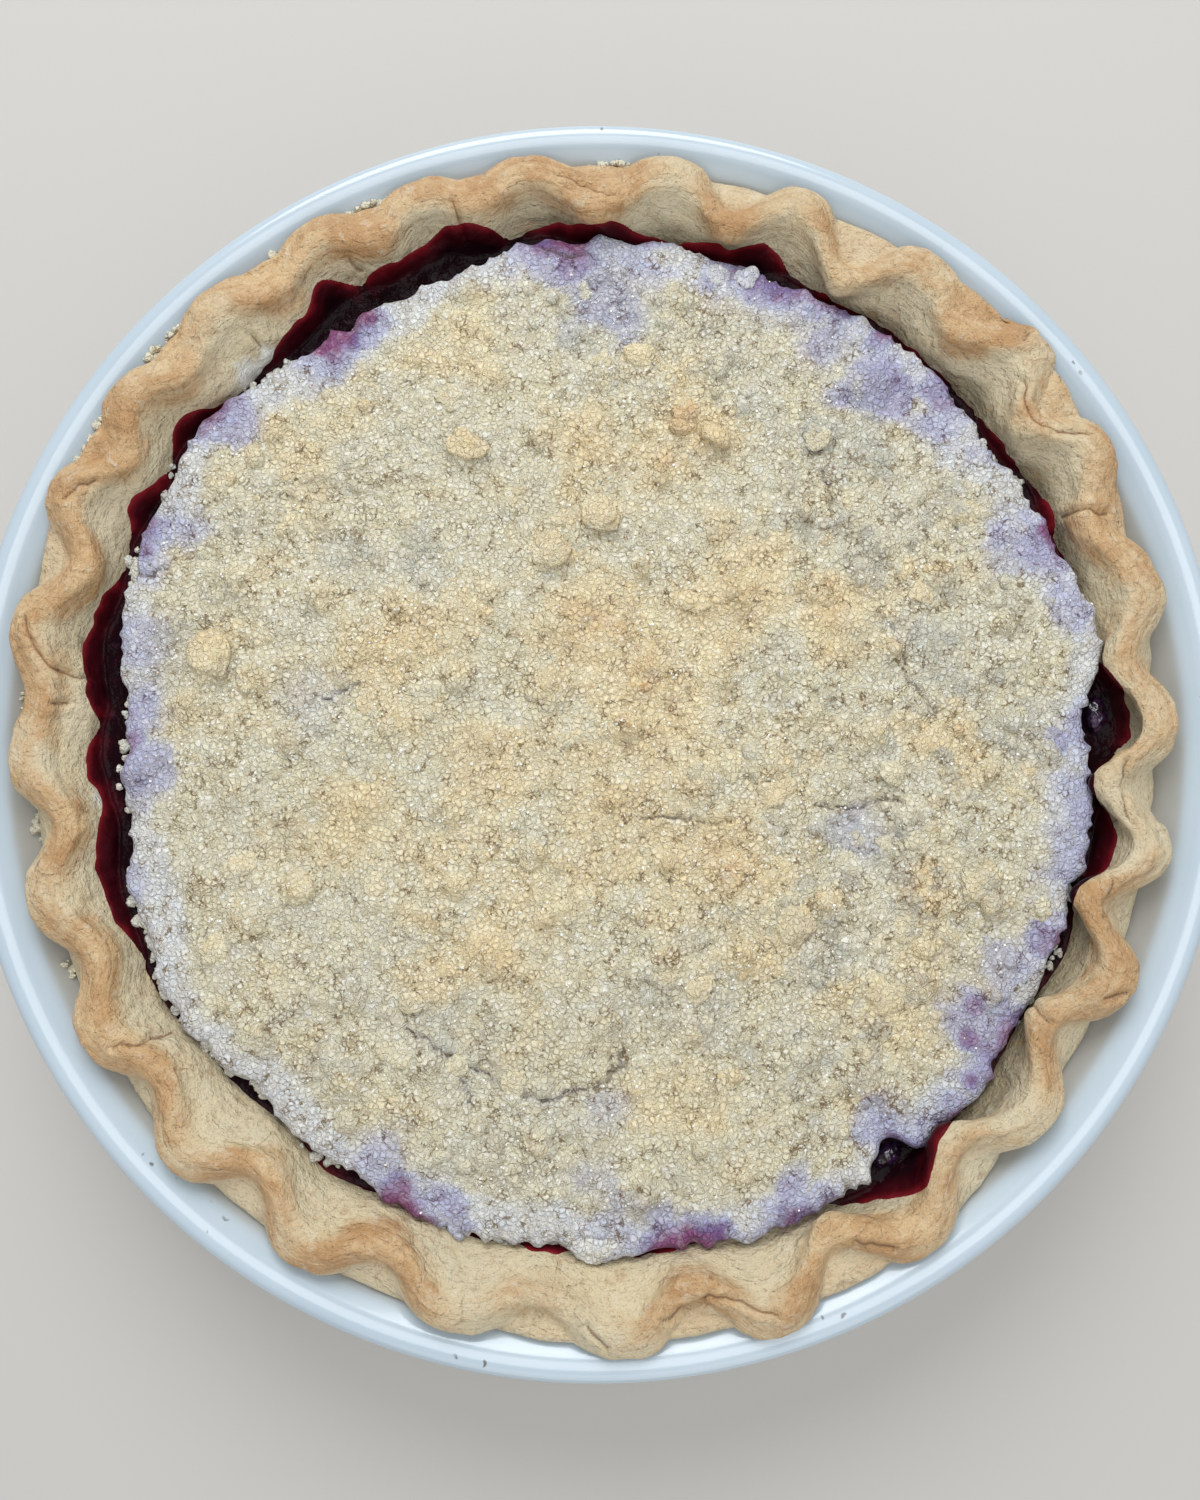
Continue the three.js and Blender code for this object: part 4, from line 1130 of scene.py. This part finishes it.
def make_filling(grid):
    """The filling under the topping, with the film of jelly that climbed the shell's inside."""
    deg, rings, crust_points, crust_normal, _ = grid
    shape = crust_points.reshape(rings, CRUST_SIDES, 3)
    inward = crust_normal.reshape(rings, CRUST_SIDES, 3)
    turn = np.radians(deg)
    inside = shell_inside(deg)
    bottom = FLOOR_Z + SHELL_FLOOR_T + 2 * GAP

    def ring(r, z):
        return np.stack([r * np.cos(turn), r * np.sin(turn), z + 0 * turn], 1)

    parts = [ring(SHELL_HEEL_R - GAP + 0 * turn, bottom), ring(inside["low"] - GAP, SHELL_LOW_Z)]
    depth = [DEEPEST + 0 * turn, DEEPEST + 0 * turn]
    top_row, level_row = ring_row(INNER_RING), ring_row(LEVEL_RING)
    # painted shade: the jelly is darker where only a narrow strip of it shows beside the shell
    in_shade = 3.2 * smoothstep(2.4, 0.6, under_edge(shape[level_row]))
    for row in range(level_row, top_row - 1, -2):
        parts.append(shape[row] - BURIED * inward[row])
        depth.append(0 * turn)
    for row in range(top_row, level_row + 1):
        left = under_edge(shape[row])
        out = lerp(-FILM_SUNK, FILM_T, smoothstep(-0.3, 0.8, left)) + FILM_SWELL * smoothstep(0.8, 4.0, left)
        parts.append(shape[row] + out[:, None] * inward[row])
        depth.append(left + in_shade)
    edge = np.hypot(parts[-1][:, 0], parts[-1][:, 1])
    at_level = np.maximum(depth[-1], 0)
    for step in JELLY_STEPS:
        r = edge - step
        wave = LEVEL_WAVE * rough_plane(r * np.cos(turn), r * np.sin(turn), 5.0, 2, SEED + 30)
        hug = HUG_HEIGHT * math.exp(-step / HUG_REACH)
        parts.append(ring(r, JELLY_Z + hug + wave * min(1, step)))
        depth.append(at_level + step)
    points = np.concatenate(parts + [[[0, 0, bottom], [0, 0, JELLY_Z]]])
    depth = np.append(np.concatenate(depth), [DEEPEST, DEEPEST])
    faces = closed_faces(len(parts), CRUST_SIDES)
    filling = make_piece("grape_filling", points, faces, wet_jelly(), values={"depth": depth})
    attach(filling, BODY)
    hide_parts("filling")


# ------------------------------------------------------------------ crumb topping

TOPPING_RINGS, CLIFF_ROWS = 168, 10
TOPPING_BOTTOM_Z = JELLY_Z - 0.3
SMOOTH_EDGE = 9.0
# the edge's lobes: waves round the pie and depth (mm), and how far out their tips are
LOBES, SMALL_LOBES, LOBES_OUT = (118, 1.7), (240, 1.1), 0.9
# the fall at the edge: its height and how far in it starts
BROW_FALL, BROW_REACH = 1.7, 3.0
CRACK_HALF, CRACK_DEPTH = 0.5, 0.9
# spacing of three layers of packed crumbs (mm), and the height of each and of the grit on them
CLUMP, LUMP, CRUMB = 7.5, 3.3, 1.7
CLUMP_UP, LUMP_UP, CRUMB_UP, GRIT_UP = 0.75, 0.62, 0.4, 0.12
SETTLED = 0.6


def disc_faces(rings):
    """Triangles of a disc whose ring k has 6k points round a middle point."""
    faces = []
    for k in range(1, rings + 1):
        sixth, i = (a.ravel() for a in np.meshgrid(np.arange(6), np.arange(k), indexing="ij"))
        first, first_inner = 1 + 3 * k * (k - 1), 1 + 3 * (k - 1) * (k - 2) if k > 1 else 0
        inner_count = max(1, 6 * (k - 1))
        outer = first + sixth * k + i
        outer_next = first + (sixth * k + i + 1) % (6 * k)
        inner = first_inner + (sixth * (k - 1) + i) % inner_count
        inner_next = first_inner + (sixth * (k - 1) + i + 1) % inner_count
        faces.append(np.stack([inner, outer, outer_next], 1))
        faces.append(np.stack([inner, outer_next, inner_next], 1)[i + 1 < k])
    return np.concatenate(faces)


def crumbs():
    """Butter crumbs: pale and grainy, golden in patches, greyer where thin, lilac to violet in stains, with
    painted shade in the gaps, crevices and cracks between them.
    """
    f = Finish("butter_crumbs")
    toast, thin, stain, crack = (f.attribute(name) for name in ("toast", "thin", "stain", "crack"))
    patch = f.noise(75.0, 4.0, 0.6)
    blot = f.noise(240.0, 4.0, 0.65)
    sand = f.noise(2100.0, 3.0, 0.75)
    broken = f.noise(330.0, 3.0, 0.7)
    lumpy = f.swayed(0.0034, 520.0)
    lump_gap = f.cells(360.0, "DISTANCE_TO_EDGE", lumpy)
    lump_tint = f.cells(360.0, vector=lumpy, output="Color")
    grainy = f.swayed(0.001, 1200.0)
    grain_gap = f.cells(820.0, "DISTANCE_TO_EDGE", grainy)
    grain_tint = f.cells(820.0, vector=grainy, output="Color")
    pale = f.mix(patch.between(0.3, 0.7), srgb(222, 217, 196), srgb(228, 220, 187))
    gold = f.mix(patch.between(0.3, 0.7), srgb(240, 226, 186), srgb(238, 214, 166))
    toasted = toast + 1.1 * (blot - 0.5) + 0.4 * (lump_tint - 0.5)
    colour = f.mix(toasted.between(0.05, 1.0), pale, gold)
    colour = f.layers(colour, [(toasted, 0.95, 2.2, 1.0, (220, 176, 118)),
                               (thin + 0.9 * (blot - 0.5), 0.2, 1.2, 0.8, (188, 190, 183))])
    coarse, whole = f.attribute("chunky"), f.attribute("whole")
    colour = f.mix(f.noise(130.0, 3.0, 0.6).between(0.52, 0.36) * coarse * 0.7, colour, srgb(184, 182, 170))
    rim = f.attribute("rim") + 0.7 * (blot - 0.5) + 0.5 * (patch - 0.5)
    stained = stain + 0.5 * (blot - 0.5) + 0.25 * (patch - 0.5)
    colour = f.layers(colour, [
        (rim, 0.15, 0.85, 0.85, (224, 227, 229)),
        (lump_tint, 0.5, 0.85, 0.35, (232, 224, 196)),
        (lump_tint, 0.45, 0.15, 0.25, (208, 190, 146)),
        (stained, -0.1, 1.1, 0.85, (178, 182, 218))])
    hue = f.mix(patch.between(0.42, 0.58), srgb(116, 88, 148), srgb(136, 62, 114))
    colour = f.mix(stained.between(0.7, 1.9, 0.0, 0.95), colour, hue)
    sparkle = toasted.between(0.9, 0.1, 0.2, 0.6) * stained.between(1.0, 0.3, 0.35, 1.0)
    colour = f.mix(grain_tint.between(0.55, 0.95) * sparkle * 0.7, colour, srgb(244, 242, 234))
    colour = f.mix(sand.between(0.6, 0.72) * sparkle, colour, srgb(252, 251, 247))
    colour = f.mix(sand.between(0.46, 0.3), colour, srgb(230, 227, 221), "MULTIPLY")
    # painted shade between the crumbs: the colour darkens towards the edges of the grain and lump cells,
    # where shade falls in the gaps
    gap_shade_strength = (blot + 0.5 * (broken - 0.5)).between(0.38, 0.62, 0.35, 1.0) * (1 - whole * 0.6)
    colour = f.mix(grain_gap.between(0.15, 0.02) * gap_shade_strength, colour, srgb(232, 228, 220), "MULTIPLY")
    colour = f.mix(lump_gap.between(0.12, 0.0) * gap_shade_strength, colour, srgb(238, 234, 228), "MULTIPLY")
    colour = f.mix(grain_tint.between(0.5, 0.1, 0.0, 0.7), colour, srgb(244, 242, 238), "MULTIPLY")
    # painted shade in the thin crevices between crumbs: dark brown lines, dark violet where the crumbs are
    # stained
    crevice_shade = f.mix(stained.between(0.3, 1.0), srgb(120, 98, 66), srgb(92, 66, 98))
    open_here = broken + 0.5 * (blot - 0.5) + 0.25 * (patch - 0.5) + coarse * 0.05 - whole * 0.3
    grain_crevice_shade = grain_gap.between(0.11, 0.03) * open_here.between(0.52, 0.66)
    colour = f.mix(grain_crevice_shade * 0.42, colour, crevice_shade)
    lump_crevice_shade = lump_gap.between(0.06, 0.012) * open_here.between(0.54, 0.61)
    colour = f.mix(lump_crevice_shade * 0.85, colour, crevice_shade)
    # painted shade along the cracks in the crumbs
    colour = f.mix(crack.between(0.3, 0.95, 0.0, 0.7) * broken.between(0.36, 0.5), colour, srgb(96, 78, 66))
    relief = f.bump(blot, 0.0013, 0.6)
    relief = f.bump(grain_gap.between(0.0, 0.25), 0.00045, 0.75, f.bump(sand, 0.00025, 0.75, relief))
    f.set(Base_Color=colour, Roughness=0.8, Normal=relief)
    return f.material


def turned(x, y, deg):
    """Places turned about the middle, so that no two layers of cells line up."""
    c, s = math.cos(math.radians(deg)), math.sin(math.radians(deg))
    return x * c - y * s, x * s + y * c


def domed(d):
    """Height of half a ball over its floor, for distances from its middle."""
    return np.sqrt(np.clip(1 - d ** 2, 0, 1))


def crumb_relief(x, y, rough):
    """Fine height of the crumbs over the broad form; rough runs from 0, smooth dough, to 1, all crumbs."""
    wx = x + 1.6 * rough_plane(x, y, 5.0, 2, SEED + 40)
    wy = y + 1.6 * rough_plane(x, y, 5.0, 2, SEED + 45)
    near, which = pebbles(*turned(wx, wy, 20), CLUMP, SEED + 50)
    clump = domed(near / 0.85) * which ** 1.5
    near, which = pebbles(*turned(wx, wy, 50), LUMP, SEED + 55)
    lump = domed(near / 0.8) * (0.25 + 0.75 * which)
    near, which = pebbles(*turned(wx, wy, 75), CRUMB, SEED + 60)
    crumb = domed(near / 0.8) * (0.3 + 0.7 * which)
    fine = rough_plane(x, y, 1.3, 2, SEED + 70)
    height = CLUMP_UP * clump + LUMP_UP * lump + CRUMB_UP * crumb + GRIT_UP * fine - SETTLED
    return height * lerp(0.45, 1.0, rough) + 0.3 * rough_plane(x, y, 6.0, 2, SEED + 75)


def topping_at(x, y, edge, share):
    """Height of the topping and all that its finish needs, at each point."""
    height, raised = topping_height(x, y, share)
    from_edge = edge * (1 - share)
    rough = smoothstep(1.0, SMOOTH_EDGE + 5, from_edge + 4 * rough_plane(x, y, 12.0, 2, SEED + 85))
    crack = np.zeros(x.shape)
    for number, line in enumerate(CRACKS):
        near = from_line(x, y, wandering(line, 1.3, 1.5, SEED + 300 + number))
        crack = np.maximum(crack, np.exp(-(near / CRACK_HALF) ** 2))
    brow = 1 - domed(np.clip(1 - from_edge / BROW_REACH, 0, 1))
    z = height + crumb_relief(x, y, rough) - BROW_FALL * brow - CRACK_DEPTH * crack
    middle = smoothstep(98, 50, np.hypot(x, y + 4) + 16 * rough_plane(x, y, 34.0, 2, SEED + 91))
    golden = 0.85 * spots(x, y, GOLDEN, SEED + 90) + 0.3 * middle
    golden = golden + 0.42 * rough_plane(x, y, 13.0, 4, SEED + 92)
    toast = (golden + 0.22 * np.clip(raised, 0, 2)) * smoothstep(0, 12, from_edge)
    thin = spots(x, y, THIN, SEED + 94)
    rim = smoothstep(12.5, 3.0, from_edge + 3.5 * rough_plane(x, y, 15.0, 2, SEED + 86))
    stain = spots(x, y, STAINS, SEED + 96, 0.5) * 0.85
    deg = np.degrees(np.arctan2(y, x))
    wave = 0.5 * rough_plane(x, y, 6.0, 3, SEED + 99)
    for middle, half, reach, strength in EDGE_STAINS:
        beside = smoothstep(1.4, 0.2, around(deg, middle) / half + wave)
        stain = np.maximum(stain, strength * beside * smoothstep(1.2, 0.0, from_edge / reach + 0.4 * wave))
    stain = stain + 0.17 * rim + 0.2 * smoothstep(4, 0, from_edge)
    stain = stain + 0.35 * crack * smoothstep(0.1, 0.5, thin)
    loose = smoothstep(0.25, 1.0, rough) * (0.5 + 0.5 * rough_plane(x, y, 16.0, 2, SEED + 98))
    values = {"toast": toast, "thin": thin, "stain": stain, "crack": crack, "rim": rim,
              "loose": np.clip(loose, 0.02, 1), "chunky": 0.06 + spots(x, y, COARSE, SEED + 103)}
    return z, values


def lobed(edge, deg):
    """The topping's edge with the rounded lobes of the crumbs that it is made of."""
    lobes = (LOBES[1] * np.abs(hills_round(deg, LOBES[0], SEED + 101))
             + SMALL_LOBES[1] * np.abs(hills_round(deg, SMALL_LOBES[0], SEED + 102)))
    for middle, half, further in FURTHER_OUT:
        edge = edge + further * smoothstep(1.3, 0.7, around(deg, middle) / half)
    return edge + LOBES_OUT - lobes


def make_topping(finish):
    """The core of the topping: a disc of rings, a ragged cliff down to the jelly and a flat underside."""
    k = np.concatenate([[0]] + [np.full(6 * n, n) for n in range(1, TOPPING_RINGS + 1)])
    i = np.concatenate([[0]] + [np.arange(6 * n) for n in range(1, TOPPING_RINGS + 1)])
    deg = np.where(k > 0, 60 * i / np.maximum(k, 1), 0.0)
    share = k / TOPPING_RINGS
    edge = lobed(topping_edge(deg), deg)
    x, y = edge * share * np.cos(np.radians(deg)), edge * share * np.sin(np.radians(deg))
    z, values = topping_at(x, y, edge, share)
    points = [np.stack([x, y, z], 1)]
    all_values = {key: [numbers] for key, numbers in values.items()}
    sides = 6 * TOPPING_RINGS
    turn = np.radians(60 * np.arange(sides) / TOPPING_RINGS)
    out = edge[-sides:]
    for step in range(1, CLIFF_ROWS + 1):
        t = step / CLIFF_ROWS
        zz = lerp(z[-sides:], TOPPING_BOTTOM_Z, t)
        bulge = 0.4 * math.sin(math.pi * t) - CLIFF_IN * t ** 3
        raw = np.stack([out * np.cos(turn), out * np.sin(turn), zz], 1)
        r = out + bulge + 0.4 * rough_space(raw, 2.6, 2, SEED + 97) * min(1, 2 * t)
        points.append(np.stack([r * np.cos(turn), r * np.sin(turn), zz], 1))
        for key, numbers in values.items():
            last = numbers[-sides:]
            all_values[key].append(lerp(last, 1.5 if key == "stain" else 0, t ** 1.5))
    points = np.concatenate(points + [[[0, 0, TOPPING_BOTTOM_Z]]])
    values = {key: np.append(np.concatenate(parts), 0) for key, parts in all_values.items()}
    first = 1 + 3 * TOPPING_RINGS * (TOPPING_RINGS - 1)
    cliff = ring_faces(CLIFF_ROWS + 1, sides)[:, ::-1] + first
    under = fan_faces(len(points) - 1, first + CLIFF_ROWS * sides, sides, False)
    faces = np.concatenate([disc_faces(TOPPING_RINGS), cliff, under])
    topping = make_piece("crumb_topping", points, faces, finish, values=values)
    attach(topping, BODY)
    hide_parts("topping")
    return topping


LUMP_DETAIL = 4
LUMP_SUNK = 0.06


def make_shown_lumps(finish):
    """The lumps that stand out on the topping, each half sunk in it."""
    unit, unit_faces = ball(LUMP_DETAIL)
    points, faces, values = [], [], {}
    for number, (x, y, across, toasted) in enumerate(SHOWN_LUMPS, 1):
        at = np.array([x]), np.array([y])
        edge = topping_edge(np.degrees(np.arctan2(at[1], at[0])))
        z, here = topping_at(*at, edge, np.hypot(*at) / edge)
        form = unit * (1 + 0.38 * rough_space(unit + 9.1 * number, 0.9, 3, SEED + 400 + number))[:, None]
        wide = 0.5 + 0.14 * (chance(number, 1, SEED) - 0.5)
        long, tall = 0.5 + 0.3 * (chance(number, 2, SEED) - 0.3), 0.2
        form = form * (across * long, across * wide, across * tall) * 0.92
        faces.append(unit_faces + len(unit) * len(points))
        points.append(form @ spin(math.pi * chance(number, 3, SEED)) + (x, y, z[0] - LUMP_SUNK * across))
        for key, number_here in here.items():
            values.setdefault(key, []).append(np.full(len(unit), number_here[0]))
        values["toast"][-1] = 0.35 * values["toast"][-1] + 0.55 * toasted + 0.25 * unit[:, 2]
        for key, kept in (("stain", 0.35), ("thin", 0.4), ("rim", 0.7), ("crack", 0)):
            values[key][-1] *= kept
        values["whole"] = values.get("whole", []) + [np.ones(len(unit))]
    values = {key: np.concatenate(parts) for key, parts in values.items()}
    lumps = make_piece("shown_lumps", np.concatenate(points), np.concatenate(faces), finish, values=values)
    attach(lumps, BODY)
    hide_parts("topping")


def sugar():
    """Sugar grains, almost white."""
    f = Finish("sugar_grains")
    f.set(Base_Color=f.mix(f.noise(900.0).between(0.4, 0.6), srgb(238, 234, 222), srgb(250, 249, 244)))
    f.set(Roughness=0.25)
    return f.material


# what is strewn over the topping: name, shape, the value that says where, how many per square metre,
# smallest and largest radius (m), how much of it is sunk, how whole it looks, and its seed
STREWN = [("small_crumbs", "small", "loose", 240000.0, 0.00045, 0.001, 0.45, 0.1, 1),
          ("larger_crumbs", "larger", "loose", 40000.0, 0.0009, 0.0021, 0.5, 0.3, 2),
          ("chunks", "larger", "chunky", 12000.0, 0.0016, 0.0032, 0.5, 0.8, 4),
          ("sugar", "grain", "loose", 240000.0, 0.00016, 0.00034, 0.0, 0.0, 3)]


def strew_crumbs(topping, finish):
    """Loose crumbs, chunks and sugar grains over the topping's core, as plain meshes."""
    group = strewing_tree()
    sugar_finish = sugar()
    shapes = {"small": crumb_shapes("small_crumb", 1, finish),
              "larger": crumb_shapes("larger_crumb", 2, finish),
              "grain": sugar_shapes("sugar_grain", sugar_finish)}
    for name, shape, where, each, smallest, largest, sunk, whole, seed in STREWN:
        material = sugar_finish if shape == "grain" else finish
        piece = strew(name, topping, group, Shapes=shapes[shape], Finish=material, Where=where,
                      Per_square_metre=each, Smallest=smallest, Largest=largest,
                      Sunk=sunk, Whole=whole, Seed=seed)
        if shape != "grain":
            piece.data.polygons.foreach_set("use_smooth", np.full(len(piece.data.polygons), True))
        print(name, len(piece.data.polygons), "faces")
        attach(piece, BODY)
        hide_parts("topping")
    for collection in shapes.values():
        remove_shapes(collection)


STRAY_FIRST_SEED = 60
# how far out stray crumbs lie from the topping's edge, and their smallest and largest radius (mm)
FALLEN_OUT, FALLEN_R, STUCK_R = (-0.8, 2.2), (0.5, 1.25), (0.35, 1.1)
# looks of the stray crumbs
STUCK_LOOK = {"toast": 0.3, "thin": 0.0, "stain": 0.0, "crack": 0.0, "rim": 0.3, "whole": 1.0}
FALLEN_LOOK = {"toast": 0.2, "thin": 0.0, "stain": 0.1, "crack": 0.0, "rim": 0.6, "whole": 1.0}


def make_bits(name, places, finish, values, node):
    """Single crumbs at given places: x, y, z and size (mm)."""
    unit, unit_faces = ball(2)
    points, faces = [], []
    for number, (x, y, z, size) in enumerate(places):
        points.append(crumb_form(unit, STRAY_FIRST_SEED + number, STRAY_KNOBBLY) * size + (x, y, z))
        faces.append(unit_faces + len(unit) * number)
    count = len(unit) * len(places)
    values = {key: np.full(count, number) for key, number in values.items()}
    bits = make_piece(name, np.concatenate(points), np.concatenate(faces), finish, values=values)
    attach(bits, BODY)
    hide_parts(node)


def make_stray_crumbs(finish):
    """Crumbs stuck to the dish's wall and crumbs that fell from the topping's edge onto the jelly."""
    on_wall, on_jelly = [], []

    def draws(first_seed):
        """Three numbers from 0 to 1 for this crumb."""
        return (float(chance(i, number, SEED + first_seed + k)) for k in range(3))

    for number, (first, last, near, far, count) in enumerate(WALL_CRUMBS):
        for i in range(count):
            along, out, size = draws(120)
            r = lerp(near, far, out)
            size = lerp(*STUCK_R, size ** 2)
            z = float(wall_height(r)) + 0.7 * size
            on_wall.append((*at_angle(lerp(first, last, along), r), z, size))
    for number, (first, last, count) in enumerate(JELLY_CRUMBS):
        for i in range(count):
            along, out, size = draws(125)
            deg = lerp(first, last, along)
            r = float(topping_edge(np.array([deg]))[0]) + lerp(*FALLEN_OUT, out ** 1.5)
            size = lerp(*FALLEN_R, size ** 1.5)
            on_jelly.append((*at_angle(deg, r), JELLY_Z + 0.7 + 0.4 * size, size))
    make_bits("stray_wall_crumbs", on_wall, finish, STUCK_LOOK, "crust")
    make_bits("stray_jelly_crumbs", on_jelly, finish, FALLEN_LOOK, "topping")


# ------------------------------------------------------------------ grape skins

# size of the wrinkles (mm), the skin's least size and how much the wrinkles add
WRINKLES, SHRUNK, WRINKLE_UP = 2.4, 0.86, 0.17


def wet_skin():
    """Wet, nearly black skin with violet bloom."""
    f = Finish("grape_skin")
    colour = f.mix(f.noise(300.0, 3.0, 0.6).between(0.4, 0.7), srgb(20, 8, 20), srgb(64, 32, 72))
    f.set(Base_Color=colour, Roughness=0.16, Coat_Weight=0.5, Coat_Roughness=0.06)
    f.set(Normal=f.bump(f.noise(700.0, 3.0, 0.6), 0.0003, 0.7))
    return f.material


def make_grapes():
    """The two grape skins, half sunk in the jelly."""
    material = wet_skin()
    unit, faces = ball(5)
    for number, grape in enumerate(GRAPES, 1):
        along, across, up = grape["half"]
        shape = unit * [across, along, up]
        wrinkle = 1 - np.abs(rough_space(shape + 20 * number, WRINKLES, 3, SEED + 110))
        shape = shape * (SHRUNK + WRINKLE_UP * wrinkle)[:, None]
        at = np.array([*at_angle(grape["deg"], grape["r"]), JELLY_Z - GRAPE_SINK])
        shape = shape @ spin(math.radians(grape["deg"])) + at
        piece = make_piece(f"grape_skin_{number}", shape, faces, material)
        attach(piece, BODY)
        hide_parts(f"grape_{number}")


set_camera()
make_floor()
set_light()
make_dish()
shell = crust_grid()
make_crust(shell)
make_filling(shell)
crumb_finish = crumbs()
whole_topping = make_topping(crumb_finish)
make_shown_lumps(crumb_finish)
strew_crumbs(whole_topping, crumb_finish)
make_stray_crumbs(crumb_finish)
make_grapes()
